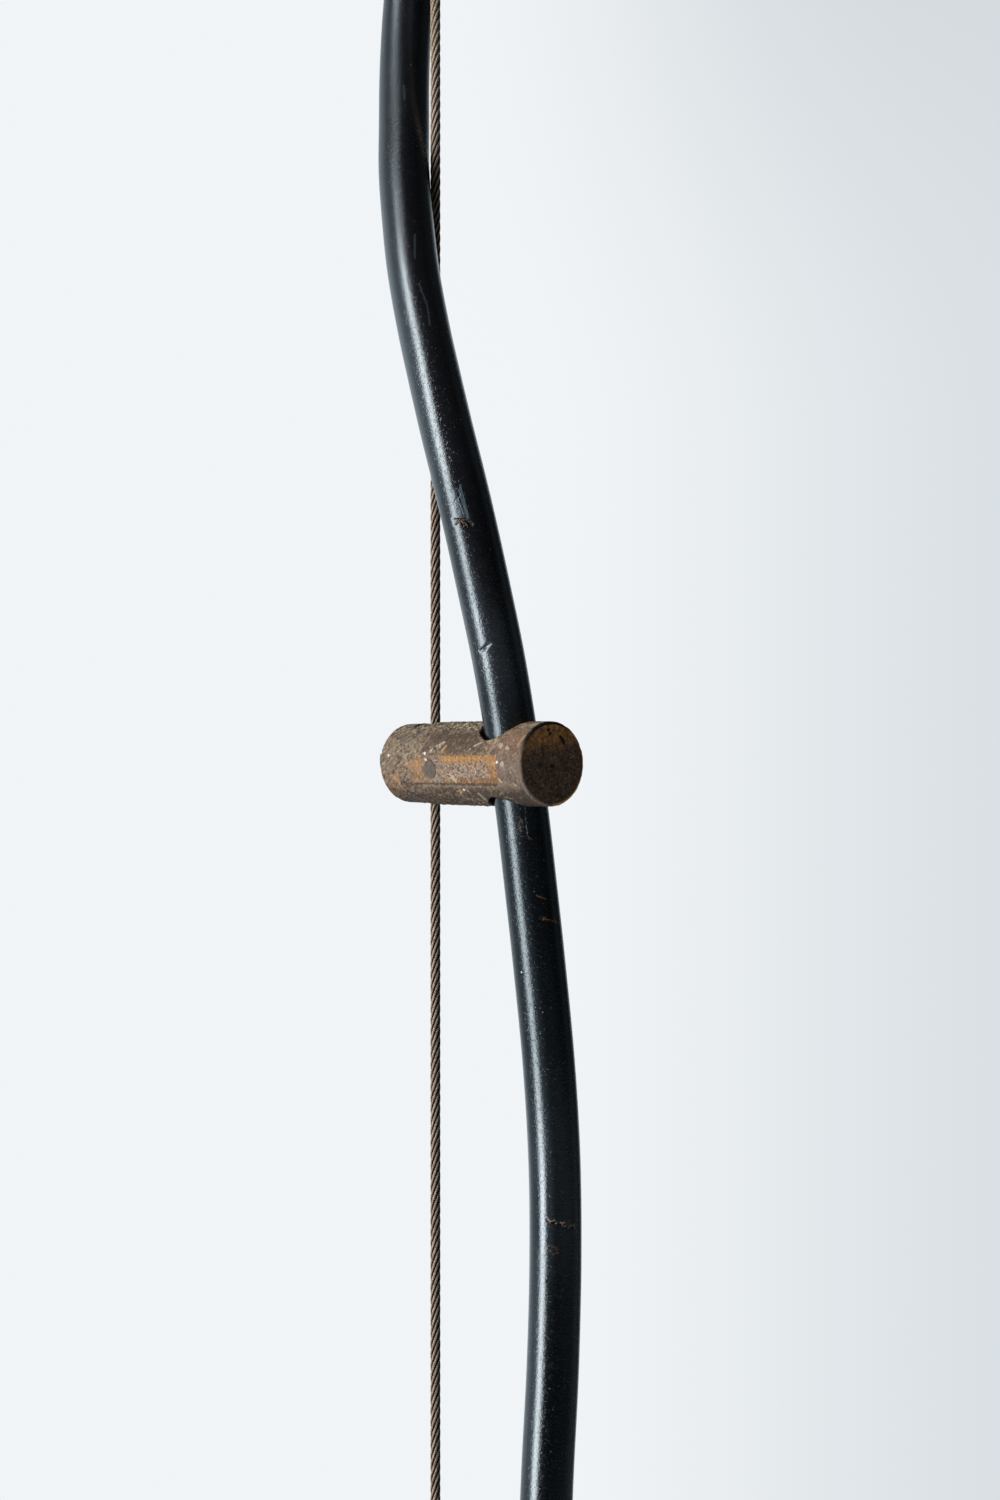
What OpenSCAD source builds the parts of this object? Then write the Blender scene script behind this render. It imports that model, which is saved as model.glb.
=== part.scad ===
// A length of suspension line. A taut steel wire rope and a heavy rubber cable run side by side
// between two wall brackets, and a short cross-drilled bar, clamped on the rope, carries the cable
// where it crosses in front. Heights are counted from the bar's axis along the rope, which is the
// line's Z axis. The finished part is then moved so that its origin is the centre of the top
// bracket's four wall holes, on the wall's plane: +Z up, +Y into the wall.

/* [Line] */
// Height of the top bracket's arm above the carrier bar
top_reach = 208; // [200:1:240]
// Depth of the bottom bracket's arm below the carrier bar
bottom_reach = 204; // [200:1:240]
// Distance from the rope to the wall
wall_gap = 45; // [42:1:60]

/* [Rope] */
// Diameter of the steel wire rope
rope_d = 2.1; // [1.6:0.1:2.4]
// Diameter of the stud terminal's swaged sleeve
sleeve_d = 5.4; // [4.6:0.1:6.4]
// Length of the swaged sleeve
sleeve_l = 28; // [22:1:32]
// Depth that the rope goes into the sleeve
rope_seat = 22; // [16:1:24]
// Thread diameter of the stud
stud_d = 5; // [4:0.5:5.5]
// Width across flats of the stud's nuts
stud_nut_af = 8; // [7.5:0.5:9]
// Thickness of the tension nut
stud_nut_h = 4; // [3:0.2:5]
// Thickness of the lock nut on it
lock_nut_h = 2.7; // [2:0.1:3.5]
// Outer diameter of the washer
washer_d = 10; // [9:0.5:11]
// Thickness of the washer
washer_t = 1; // [0.6:0.1:1.6]
// Thread left standing past the lock nut
stud_end = 4; // [2:0.5:6]

/* [Carrier bar] */
// Diameter of the bar
bar_d = 18; // [17:0.5:20]
// Length of the bar
bar_l = 50.5; // [49:0.5:56]
// Bevel on the bar's two rims
bar_bevel = 0.4; // [0.2:0.1:1]
// Distance from the clamp end to the rope hole
rope_hole_in = 8.3; // [7.6:0.1:10]
// How much wider the rope hole is than the rope
rope_play = 3.9; // [3.7:0.1:4.4]
// How far the clamped rope lies off the centre of its hole
rope_shift = 1; // [0.6:0.1:1.1]
// Distance between the two cross holes
hole_spacing = 29.2; // [28:0.1:30]
// How much wider the cable hole is than the cable
cable_play = 1.3; // [1.2:0.1:2]
// How far the cable lies off the centre of its hole
cable_shift = 0.35; // [0:0.05:0.4]
// Direction of the bar about the rope, from +X
bar_turn = -51; // [-55:1:-47]
// Roll of the bar about its own length
bar_roll = 9; // [7:0.5:11]
// Length of the milled recess
recess_l = 33.6; // [28:0.2:36]
// Height of the milled recess
recess_h = 6.5; // [5:0.1:8]
// Depth of the recess at its middle
recess_depth = 0.9; // [0.7:0.05:1.4]
// Corner radius of the recess
recess_r = 1.3; // [0.5:0.1:2]
// Diameter of the flush pin in the recess
pin_d = 4.1; // [3:0.1:4.8]
// Length of the flush pin
pin_l = 6; // [4:0.5:8]
// Distance from the rope hole to the flush pin
pin_in = 9.3; // [8:0.1:12]

/* [Clamp] */
// Thread diameter of the clamp screw
screw_d = 5; // [4:0.5:5.5]
// Length of the screw that stands out of the bar, with its head
screw_out = 9; // [7:0.5:12]
// Width across flats of the square head
head_af = 5; // [4.5:0.5:6]
// Length of the square head
head_l = 5; // [3.5:0.5:6]
// Length of the clamp pad between the screw and the rope
pad_l = 4; // [3:0.5:4.5]

/* [Cable] */
// Outer diameter of the rubber sheath
cable_d = 11.7; // [11.2:0.1:11.8]
// Wall of the rubber sheath
sheath_wall = 1.7; // [1.2:0.1:1.8]
// Diameter of one insulated core
core_d = 3.5; // [3:0.1:3.6]
// Wall of a core's insulation
core_wall = 0.6; // [0.4:0.1:0.8]
// Length in which the cores turn once round each other
core_lay = 180; // [150:10:300]
// Length of the stripped cores at each end
core_tail = 22; // [20:1:35]
// Tilt of the cable where it crosses the bar, square to the bar
cable_tilt = 10.6; // [9:0.2:12]

/* [Ferrules] */
// Outer diameter of a ferrule's collar
collar_d = 4.4; // [4.2:0.1:5]
// Length of the collar
collar_l = 8; // [6:0.5:10]
// Outer diameter of the crimped sleeve
crimp_d = 2.9; // [2.8:0.1:3.4]
// Length of the crimped sleeve beyond the collar
crimp_l = 7; // [5:0.5:12]

/* [Brackets] */
// Width of the bent strip
strip_w = 52; // [50:1:64]
// Thickness of the strip
strip_t = 5; // [3:0.5:6]
// Inner radius of the bend
bend_r = 4; // [2:0.5:6]
// Length of the wall leg
leg_h = 52; // [48:1:70]
// Diameter of the wall holes
wall_hole_d = 5.5; // [4.5:0.5:6.5]
// Distance between wall holes across the strip
wall_hole_x = 34; // [30:1:38]
// Distance between wall holes along the line
wall_hole_z = 28; // [24:1:30]
// Radius of the strip's corners
corner_r = 6; // [2:0.5:8]
// Strip left in front of the foremost fitting
arm_margin = 4; // [2:0.5:10]

/* [Cable glands] */
// Place of the top gland across the wall, from the rope
top_gland_x = -6; // [-8:0.5:-4]
// Place of the top gland towards the wall, from the rope
top_gland_y = 18.5; // [18:0.5:20]
// Place of the bottom gland across the wall, from the rope
bottom_gland_x = 24; // [22:0.5:26]
// Place of the bottom gland towards the wall, from the rope
bottom_gland_y = -24; // [-26:0.5:-22]
// Thread diameter of the glands
gland_d = 20; // [19:0.5:20.5]
// Width across flats of the gland's body and cap
gland_af = 22; // [22:0.5:23]
// Width across flats of the lock nut
gland_nut_af = 24; // [23:0.5:24.5]
// Thickness of the lock nut
gland_nut_h = 4; // [3:0.5:6]
// Thickness of the body's hexagon
gland_hex_h = 6; // [4:0.5:8]
// Length of the body's collar inside the cap
gland_collar_l = 5; // [4:0.5:6]
// Length of the rubber seal
seal_l = 5; // [4:0.5:6]
// Length of the cap's hexagon
cap_hex_h = 8; // [6:0.5:9]
// Wall between the cap's dome and the seal
cap_lip = 2.5; // [2:0.5:3.5]

/* [Hidden] */

$fn = 64;
cut = 1;             // how far a cutting solid runs past what it cuts
fit = 0.05;          // radial clearance of a screw thread
free_fit = 0.25;     // radial clearance of a bolt or gland in its hole
pad_gap = 0.1;       // gap between the clamp pad and the rope, and between pad and screw
seal_gap = 0.1;      // radial clearance of the seal inside the cap
gland_bore_play = 1.5;  // how much wider the gland's bore is than the cable
gland_thread_end = 2;   // thread left standing past the gland's lock nut
collar_step = 1.4;   // step from the gland's thread to its collar inside the cap
cap_gap = 0.3;       // gap between the body's hexagon and the cap
dome_in = 0.6;       // step from the cap's flats to its dome
dome_sink = 1;       // how far the dome starts below the end of the cap's hexagon
mouth_rim = 2.2;     // rubber sheath to the flat rim round the cap's mouth
seal_nose = 1;       // taper of the seal's nose
stud_bevel = 0.5;    // bevel at the end of the stud's thread
sleeve_bevel = 0.4;  // bevel at the foot of the swaged sleeve
sleeve_foot = 4;     // plain thread between the arm and the sleeve
sleeve_mouth = 0.9;  // taper at the sleeve's mouth
flat_in = 1;         // plain sleeve in front of its spanner flats
flat_l = 6;          // length of the spanner flats
flat_depth = 0.4;    // depth of each spanner flat
pad_bevel = 0.4;     // bevel at the ends of the clamp pad
head_crown = 0.8;    // bevel round the end of the square head
centre_r = 1.6;      // centre mark on the bar's cable end
centre_depth = 0.5;
sheath_past = 8;     // sheath that stands past a gland's thread
hole_run = 11;       // half the straight run of the cable through the bar
ring_step = 12;      // distance between the rings of a swept tube
way_step = 0.5;      // half the height over which a direction is taken
sheath_sides = 12;
core_sides = 8;
wire_sides = 6;
core_gap = 0.12;     // how far the cores lie outside a tight bundle
tail_orbit = 5.4;    // radius to which the stripped cores spread
tail_spread = 12;    // length over which they spread
tail_steps = 4;      // rings in that length
wire_play = 0.15;    // gap between a conductor and its insulation
wire_in = 0.4;       // how far a conductor stops inside its crimped sleeve
core_stop = 0.2;     // gap between the insulation's end and the crimped sleeve

bend_out = bend_r + strip_t;
bar_r = bar_d / 2;
rope_hole_d = rope_d + rope_play;
cable_hole_d = cable_d + cable_play;
// places along the bar, counted from the rope towards the cable
rope_hole_s = -rope_shift;
clamp_end_s = rope_hole_s - rope_hole_in;
cable_end_s = clamp_end_s + bar_l;
cable_hole_s = rope_hole_s + hole_spacing;
cable_s = cable_hole_s + cable_shift;
recess_s = (clamp_end_s + cable_end_s) / 2;
pin_s = rope_hole_s + pin_in;
recess_floor = bar_r - recess_depth;
pad_tip_s = -rope_d / 2 - pad_gap;
screw_tip_s = pad_tip_s - pad_l - pad_gap;
screw_end_s = clamp_end_s - screw_out;

top_gland = [top_gland_x, top_gland_y];
bottom_gland = [bottom_gland_x, bottom_gland_y];
gland_r = gland_af / 2 / cos(30);
gland_bore_d = cable_d + gland_bore_play;
gland_thread_l = strip_t + gland_nut_h + gland_thread_end;
seal_start = gland_hex_h + gland_collar_l;
seal_d = gland_d - 2 * collar_step;
cap_bore_d = seal_d + 2 * seal_gap;
cap_start = gland_hex_h + cap_gap;
cap_end = seal_start + seal_l + cap_lip;
sleeve_top = sleeve_foot + sleeve_l;
stud_bottom = -(strip_t + washer_t + stud_nut_h + lock_nut_h + stud_end);
sheath_high = top_reach + gland_thread_l + sheath_past;
sheath_low = -bottom_reach - gland_thread_l - sheath_past;
core_orbit = core_d / 2 / cos(30) + core_gap;
wire_end = core_tail + collar_l / 2 + crimp_l - wire_in;

wall_hole_w = -(bend_out + leg_h) / 2;   // centre of the wall holes along the leg
mount_point = [top_gland_x / 2, wall_gap, top_reach - wall_hole_w];

// ---------------------------------------------------------------- placing

// Moves the line so that the top bracket's mount is the origin
module in_row() translate(-mount_point) children();

// A fitting is drawn with the arm's inner face at height 0 and the carrier side upwards
module at_top(p = [0, 0]) in_row() translate([p.x, p.y, top_reach]) mirror([0, 0, 1]) children();
module at_bottom(p = [0, 0]) in_row() translate([p.x, p.y, -bottom_reach]) children();
module at_both_studs() { at_top() children(); at_bottom() children(); }

// The bar is drawn along +X from the rope, with its cross holes upright
module on_bar() in_row() rotate([0, 0, bar_turn]) rotate([bar_roll, 0, 0]) children();

// ---------------------------------------------------------------- fasteners

// Hexagon block with turned corners on both ends, standing on height 0
module hex_block(af, h, bore) {
    corner = af / 2 / cos(30);
    drop = (corner - af / 2) * tan(30);
    difference() {
        intersection() {
            cylinder(r = corner, h = h, $fn = 6);
            rotate_extrude() polygon([
                [0, 0], [af / 2, 0], [corner, drop], [corner, h - drop], [af / 2, h], [0, h]
            ]);
        }
        translate([0, 0, -cut]) cylinder(d = bore, h = h + 2 * cut);
    }
}

module ring(outer, inner, h) {
    difference() {
        cylinder(d = outer, h = h);
        translate([0, 0, -cut]) cylinder(d = inner, h = h + 2 * cut);
    }
}

// ---------------------------------------------------------------- brackets

// Side view of the bent strip: the arm lies at height 0 and below, the leg goes down the wall
module strip_profile(front) {
    translate([front, -strip_t]) square([wall_gap - bend_out - front, strip_t]);
    translate([wall_gap - strip_t, -leg_h]) square([strip_t, leg_h - bend_out]);
    translate([wall_gap - bend_out, -bend_out]) intersection() {
        difference() { circle(r = bend_out); circle(r = bend_r); }
        square(bend_out);
    }
}

// Rectangle with its two corners at the start of Y rounded
module half_rounded(w, l, r) {
    translate([0, r]) square([w, l - r]);
    translate([r, 0]) square([w - 2 * r, l]);
    for (x = [r, w - r]) translate([x, r]) circle(r = r);
}

module bracket(gland) {
    front = min(-washer_d / 2, gland.y - gland_r) - arm_margin;
    side = gland.x / 2 - strip_w / 2;
    difference() {
        intersection() {
            translate([side, 0, 0]) rotate([90, 0, 90]) linear_extrude(strip_w) strip_profile(front);
            translate([side, front, -leg_h - cut]) linear_extrude(leg_h + 2 * cut)
                half_rounded(strip_w, wall_gap - front, corner_r);
            translate([side, wall_gap + cut, -leg_h]) rotate([90, 0, 0])
                linear_extrude(wall_gap - front + 2 * cut) half_rounded(strip_w, leg_h + cut, corner_r);
        }
        translate([0, 0, -strip_t - cut]) cylinder(d = stud_d + 2 * free_fit, h = strip_t + 2 * cut);
        translate([gland.x, gland.y, -strip_t - cut])
            cylinder(d = gland_d + 2 * free_fit, h = strip_t + 2 * cut);
        for (x = [-1, 1], z = [-1, 1])
            translate([gland.x / 2 + x * wall_hole_x / 2, wall_gap + cut, wall_hole_w + z * wall_hole_z / 2])
                rotate([90, 0, 0]) cylinder(d = wall_hole_d, h = strip_t + 2 * cut);
    }
}

module top_bracket() color("dimgray") at_top() bracket(top_gland);
module bottom_bracket() color("dimgray") at_bottom() bracket(bottom_gland);

// ---------------------------------------------------------------- rope and its studs

module stud() {
    r = sleeve_d / 2;
    difference() {
        rotate_extrude() polygon([
            [0, stud_bottom], [stud_d / 2 - stud_bevel, stud_bottom], [stud_d / 2, stud_bottom + stud_bevel],
            [stud_d / 2, sleeve_foot], [r, sleeve_foot + sleeve_bevel], [r, sleeve_top - 2 * sleeve_mouth],
            [r - sleeve_mouth, sleeve_top], [0, sleeve_top]
        ]);
        translate([0, 0, sleeve_top - rope_seat]) cylinder(d = rope_d, h = rope_seat + cut);
        for (side = [-1, 1])
            translate([side * (sleeve_d - flat_depth), 0, sleeve_foot + flat_in + flat_l / 2])
                cube([sleeve_d, 2 * sleeve_d, flat_l], center = true);
    }
}

module top_stud() color("silver") at_top() stud();
module bottom_stud() color("silver") at_bottom() stud();

module wire_rope() {
    low = -bottom_reach + sleeve_top - rope_seat;
    high = top_reach - sleeve_top + rope_seat;
    color("tan") in_row() translate([0, 0, low]) cylinder(d = rope_d, h = high - low);
}

module stud_washers() color("silver") at_both_studs()
    translate([0, 0, -strip_t - washer_t]) ring(washer_d, stud_d + 2 * fit, washer_t);

module tension_nuts() color("silver") at_both_studs()
    translate([0, 0, -strip_t - washer_t - stud_nut_h]) hex_block(stud_nut_af, stud_nut_h, stud_d + 2 * fit);

module lock_nuts() color("silver") at_both_studs()
    translate([0, 0, -strip_t - washer_t - stud_nut_h - lock_nut_h])
        hex_block(stud_nut_af, lock_nut_h, stud_d + 2 * fit);

// ---------------------------------------------------------------- cable glands

module gland_body() {
    difference() {
        union() {
            translate([0, 0, -gland_thread_l]) cylinder(d = gland_d, h = gland_thread_l);
            hex_block(gland_af, gland_hex_h, gland_bore_d);
            cylinder(d = seal_d, h = seal_start);
        }
        translate([0, 0, -gland_thread_l - cut])
            cylinder(d = gland_bore_d, h = gland_thread_l + seal_start + 2 * cut);
    }
}

// Rubber ring with a tapered nose, squeezed between the body's collar and the cap
module gland_seal() {
    nose = seal_d / 2 - seal_nose;
    rotate_extrude() polygon([
        [cable_d / 2, seal_start], [seal_d / 2, seal_start], [seal_d / 2, seal_start + seal_l / 2],
        [nose, seal_start + seal_l], [cable_d / 2, seal_start + seal_l]
    ]);
}

module gland_cap() {
    dome_r = gland_af / 2 - dome_in;
    lip_r = cable_d / 2 + mouth_rim;
    difference() {
        union() {
            translate([0, 0, cap_start]) hex_block(gland_af, cap_hex_h, gland_bore_d);
            rotate_extrude() polygon(concat(
                [[0, cap_start], [dome_r, cap_start + cap_hex_h - dome_sink]],
                [for (a = [0:15:90]) [
                    lip_r + (dome_r - lip_r) * cos(a),
                    cap_start + cap_hex_h + (cap_end - cap_start - cap_hex_h) * sin(a)
                ]],
                [[0, cap_end]]
            ));
        }
        translate([0, 0, cap_start - cut])
            cylinder(d = cap_bore_d, h = seal_start + seal_l - cap_start + cut);
        cylinder(d = gland_bore_d, h = cap_end + cut);
    }
}

module gland_nut() translate([0, 0, -strip_t - gland_nut_h])
    hex_block(gland_nut_af, gland_nut_h, gland_d + 2 * fit);

module top_gland_body() color("darkgoldenrod") at_top(top_gland) gland_body();
module top_gland_seal() color("black") at_top(top_gland) gland_seal();
module top_gland_cap() color("goldenrod") at_top(top_gland) gland_cap();
module top_gland_nut() color("goldenrod") at_top(top_gland) gland_nut();
module bottom_gland_body() color("darkgoldenrod") at_bottom(bottom_gland) gland_body();
module bottom_gland_seal() color("black") at_bottom(bottom_gland) gland_seal();
module bottom_gland_cap() color("goldenrod") at_bottom(bottom_gland) gland_cap();
module bottom_gland_nut() color("goldenrod") at_bottom(bottom_gland) gland_nut();

// ---------------------------------------------------------------- cable

// The cable's place where it passes through the bar's hole, at a height near the bar's axis
function in_hole(z) =
    let (u = -z * tan(cable_tilt))
    [cable_s * cos(bar_turn) - u * sin(bar_turn), cable_s * sin(bar_turn) + u * cos(bar_turn), z];

// Points that the cable's axis goes through, from the top down
route = [
    [top_gland_x, top_gland_y, sheath_high + core_tail],
    [top_gland_x, top_gland_y, 200],
    [-6.1, 18.3, 192],
    [-6.4, 17.2, 182],
    [-7.1, 14.5, 170],
    [-7.6, 10.4, 158],
    [-7.6, 5.4, 146],
    [-7.1, -0.2, 134],
    [-6.1, -5.8, 122],
    [-4.7, -11.3, 110],
    [-2.2, -17.2, 96],
    [0.4, -22.3, 84],
    [3.2, -26.3, 72],
    [6.2, -29, 60],
    [9, -30, 48],
    [11.6, -29, 36],
    [14.1, -26.5, 24],
    in_hole(hole_run), in_hole(0), in_hole(-hole_run),
    [21.3, -19.7, -26],
    [23.3, -18.5, -44],
    [25.4, -17, -66],
    [26.7, -15.6, -88],
    [26.9, -15.3, -110],
    [26.3, -17.2, -132],
    [25.1, -20.6, -154],
    [24.3, -23.3, -174],
    [bottom_gland_x, bottom_gland_y, -186],
    [bottom_gland_x, bottom_gland_y, -198],
    [bottom_gland_x, bottom_gland_y, sheath_low - core_tail]
];

// Slope of the route at a point, as x and y per unit of height
function slope(i) =
    let (a = route[max(i - 1, 0)], b = route[min(i + 1, len(route) - 1)])
    [(b.x - a.x) / (b.z - a.z), (b.y - a.y) / (b.z - a.z)];

// The stretch of the route that a height falls in
function stretch(z, i = 0) = i >= len(route) - 2 || z >= route[i + 1].z ? i : stretch(z, i + 1);

// Point of the route at a height, on a smooth curve through the points
function on_route(z) =
    let (i = stretch(z), p = route[i], q = route[i + 1], h = q.z - p.z, t = (z - p.z) / h,
         m = slope(i) * h, n = slope(i + 1) * h,
         a = 2 * t ^ 3 - 3 * t ^ 2 + 1, b = t ^ 3 - 2 * t ^ 2 + t,
         c = 3 * t ^ 2 - 2 * t ^ 3, d = t ^ 3 - t ^ 2)
    [a * p.x + b * m.x + c * q.x + d * n.x, a * p.y + b * m.y + c * q.y + d * n.y, z];

function unit(v) = v / norm(v);
function way(z) = unit(on_route(z - way_step) - on_route(z + way_step));
// Sideways directions of a ring at a height
function side_x(z) = let (t = way(z)) unit([1, 0, 0] - t.x * t);
function side_y(z) = cross(way(z), side_x(z));

function evenly(from, to, step) =
    let (n = ceil(abs(to - from) / step)) [for (i = [0:n]) from + (to - from) * i / n];

// Heights of the rings: evenly along the sheath, closer where the stripped cores spread
sheath_heights = evenly(sheath_high, sheath_low, ring_step);
tail_heights = [for (i = [1:tail_steps]) i * tail_spread / tail_steps];

function smooth(t) = let (c = min(max(t, 0), 1)) 3 * c ^ 2 - 2 * c ^ 3;
function past_sheath(z) = max(z - sheath_high, sheath_low - z, 0);
function orbit(z) = core_orbit + (tail_orbit - core_orbit) * smooth(past_sheath(z) / tail_spread);
function core_angle(i, z) = 120 * i + 360 * min(max(z, sheath_low), sheath_high) / core_lay;
function core_point(i, z) =
    on_route(z) + orbit(z) * (cos(core_angle(i, z)) * side_x(z) + sin(core_angle(i, z)) * side_y(z));

function ring_points(centre, z, r, sides) =
    let (x = side_x(z), y = side_y(z))
    [for (k = [0:sides - 1]) centre + r * (cos(360 * k / sides) * x + sin(360 * k / sides) * y)];

// Faces between the rings of a tube, the first ring starting at one point of the list
function skin(first, rings, sides, flip) = [
    for (i = [0:rings - 2], k = [0:sides - 1])
        let (a = first + i * sides + k, b = first + i * sides + (k + 1) % sides)
            let (c = a + sides, d = b + sides)
                each flip ? [[a, c, b], [b, c, d]] : [[a, b, c], [b, d, c]]
];

// Solid rod swept through centres, one ring at each height
module swept_rod(centres, heights, r, sides) {
    n = len(heights);
    last = (n - 1) * sides;
    polyhedron(
        points = [for (i = [0:n - 1]) each ring_points(centres[i], heights[i], r, sides)],
        faces = concat(
            skin(0, n, sides, false),
            [for (k = [1:sides - 2]) [0, k + 1, k]],
            [for (k = [1:sides - 2]) [last, last + k, last + k + 1]]
        )
    );
}

// Hollow tube swept the same way
module swept_tube(centres, heights, r, bore_r, sides) {
    n = len(heights);
    inner = n * sides;
    last = (n - 1) * sides;
    polyhedron(
        points = concat(
            [for (i = [0:n - 1]) each ring_points(centres[i], heights[i], r, sides)],
            [for (i = [0:n - 1]) each ring_points(centres[i], heights[i], bore_r, sides)]
        ),
        faces = concat(
            skin(0, n, sides, false),
            skin(inner, n, sides, true),
            [for (k = [0:sides - 1]) let (j = (k + 1) % sides) each
                [[k, inner + k, j], [j, inner + k, inner + j]]],
            [for (k = [0:sides - 1]) let (j = (k + 1) % sides) each
                [[last + k, last + j, inner + last + k], [last + j, inner + last + j, inner + last + k]]]
        )
    );
}

// Heights of a core's rings, out to a length past each end of the sheath
function core_heights(tail) = concat(
    [sheath_high + tail], [for (i = [tail_steps - 1:-1:0]) sheath_high + tail_heights[i]],
    sheath_heights,
    [for (h = tail_heights) sheath_low - h], [sheath_low - tail]
);

module cable_sheath() {
    color("black") in_row() swept_tube(
        [for (z = sheath_heights) on_route(z)], sheath_heights,
        cable_d / 2, cable_d / 2 - sheath_wall, sheath_sides
    );
}

module core(i) {
    heights = core_heights(core_tail);
    in_row() swept_tube(
        [for (z = heights) core_point(i, z)], heights, core_d / 2, core_d / 2 - core_wall, core_sides
    );
}

module core_brown() color("saddlebrown") core(0);
module core_blue() color("royalblue") core(1);
module core_striped() color("yellowgreen") core(2);

module conductors() {
    heights = core_heights(wire_end);
    r = (core_d / 2 - core_wall) * cos(180 / core_sides) - wire_play;
    color("peru") for (i = [0:2]) in_row()
        swept_rod([for (z = heights) core_point(i, z)], heights, r, wire_sides);
}

// ---------------------------------------------------------------- ferrules

// Puts a ferrule on each of the six core ends, with height 0 at the end of the insulation
module at_core_ends() {
    for (i = [0:2]) {
        in_row() translate(core_point(i, sheath_high + core_tail)) children();
        in_row() translate(core_point(i, sheath_low - core_tail)) mirror([0, 0, 1]) children();
    }
}

module ferrule_collars() color("dimgray") at_core_ends() difference() {
    translate([0, 0, -collar_l / 2]) cylinder(d = collar_d, h = collar_l);
    translate([0, 0, -collar_l / 2 - cut]) cylinder(d = core_d + 2 * fit, h = collar_l / 2 + core_stop + cut);
    cylinder(d = crimp_d, h = collar_l / 2 + cut);
}

module ferrule_sleeves() color("lightgray") at_core_ends() difference() {
    translate([0, 0, core_stop]) cylinder(d = crimp_d, h = collar_l / 2 + crimp_l - core_stop);
    cylinder(d = core_d - 2 * core_wall, h = collar_l / 2 + crimp_l + cut);
}

// ---------------------------------------------------------------- carrier

// Turns a shape drawn along +Z so that it runs along the bar, towards the cable
module along_bar() rotate([0, 90, 0]) children();

module rounded_rectangle(l, h, r) {
    square([l - 2 * r, h], center = true);
    square([l, h - 2 * r], center = true);
    for (x = [-1, 1], y = [-1, 1]) translate([x * (l / 2 - r), y * (h / 2 - r)]) circle(r = r);
}

module carrier_bar() color("rosybrown") on_bar() difference() {
    translate([clamp_end_s, 0, 0]) along_bar() rotate_extrude() polygon([
        [0, 0], [bar_r - bar_bevel, 0], [bar_r, bar_bevel],
        [bar_r, bar_l - bar_bevel], [bar_r - bar_bevel, bar_l], [0, bar_l]
    ]);
    translate([rope_hole_s, 0, -bar_r - cut]) cylinder(d = rope_hole_d, h = bar_d + 2 * cut);
    translate([cable_hole_s, 0, -bar_r - cut]) cylinder(d = cable_hole_d, h = bar_d + 2 * cut);
    translate([clamp_end_s - cut, 0, 0]) along_bar()
        cylinder(d = screw_d + 2 * fit, h = rope_hole_in + cut);
    translate([recess_s, -recess_floor, 0]) rotate([90, 0, 0])
        linear_extrude(recess_depth + cut) rounded_rectangle(recess_l, recess_h, recess_r);
    translate([pin_s, -recess_floor + pin_l, 0]) rotate([90, 0, 0]) cylinder(d = pin_d, h = pin_l + cut);
    translate([cable_end_s - centre_depth, 0, 0]) along_bar()
        cylinder(r1 = 0, r2 = 2 * centre_r, h = 2 * centre_depth);
}

module flush_pin() color("slategray") on_bar()
    translate([pin_s, -recess_floor + pin_l, 0]) rotate([90, 0, 0]) cylinder(d = pin_d, h = pin_l);

module clamp_pad() color("lightslategray") on_bar() translate([pad_tip_s - pad_l, 0, 0]) along_bar()
    rotate_extrude() polygon([
        [0, 0], [screw_d / 2 - pad_bevel, 0], [screw_d / 2, pad_bevel], [screw_d / 2, pad_l - pad_bevel],
        [screw_d / 2 - pad_bevel, pad_l], [0, pad_l]
    ]);

module clamp_screw() color("slategray") on_bar() {
    shank_l = screw_tip_s - screw_end_s - head_l;
    translate([screw_tip_s, 0, 0]) rotate([0, -90, 0]) {
        cylinder(d = screw_d, h = shank_l);
        translate([0, 0, shank_l]) intersection() {
            translate([-head_af / 2, -head_af / 2, 0]) cube([head_af, head_af, head_l]);
            rotate_extrude() polygon([
                [0, 0], [head_af, 0], [head_af, head_l - head_crown - head_af / 4],
                [head_af / 2 - head_crown, head_l], [0, head_l]
            ]);
        }
    }
}

// ---------------------------------------------------------------- the part

top_bracket();
bottom_bracket();
wire_rope();
top_stud();
bottom_stud();
stud_washers();
tension_nuts();
lock_nuts();
top_gland_body();
top_gland_seal();
top_gland_cap();
top_gland_nut();
bottom_gland_body();
bottom_gland_seal();
bottom_gland_cap();
bottom_gland_nut();
cable_sheath();
core_brown();
core_blue();
core_striped();
conductors();
ferrule_collars();
ferrule_sleeves();
carrier_bar();
flush_pin();
clamp_pad();
clamp_screw();
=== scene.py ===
from math import cos, hypot, pi, radians, sin, tan

import bmesh
import bpy
import numpy as np
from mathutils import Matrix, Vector, noise


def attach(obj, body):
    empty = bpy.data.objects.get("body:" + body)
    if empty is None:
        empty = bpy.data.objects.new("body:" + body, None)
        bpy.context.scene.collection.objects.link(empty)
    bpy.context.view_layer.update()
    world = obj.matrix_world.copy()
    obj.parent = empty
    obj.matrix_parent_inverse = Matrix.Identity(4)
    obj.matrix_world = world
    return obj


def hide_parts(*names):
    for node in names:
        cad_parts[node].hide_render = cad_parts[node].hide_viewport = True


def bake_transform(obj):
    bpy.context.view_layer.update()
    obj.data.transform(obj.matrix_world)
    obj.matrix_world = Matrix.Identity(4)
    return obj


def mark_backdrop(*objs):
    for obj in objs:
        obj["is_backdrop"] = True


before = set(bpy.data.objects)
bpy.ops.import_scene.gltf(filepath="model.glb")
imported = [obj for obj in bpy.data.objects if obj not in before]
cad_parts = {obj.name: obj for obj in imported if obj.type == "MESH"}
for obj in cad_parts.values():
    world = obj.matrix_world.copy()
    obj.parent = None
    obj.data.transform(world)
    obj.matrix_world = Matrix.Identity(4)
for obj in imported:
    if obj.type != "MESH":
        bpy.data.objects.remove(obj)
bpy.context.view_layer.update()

scene = bpy.context.scene
scene.view_settings.view_transform = "Standard"

# ----- studio

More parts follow.
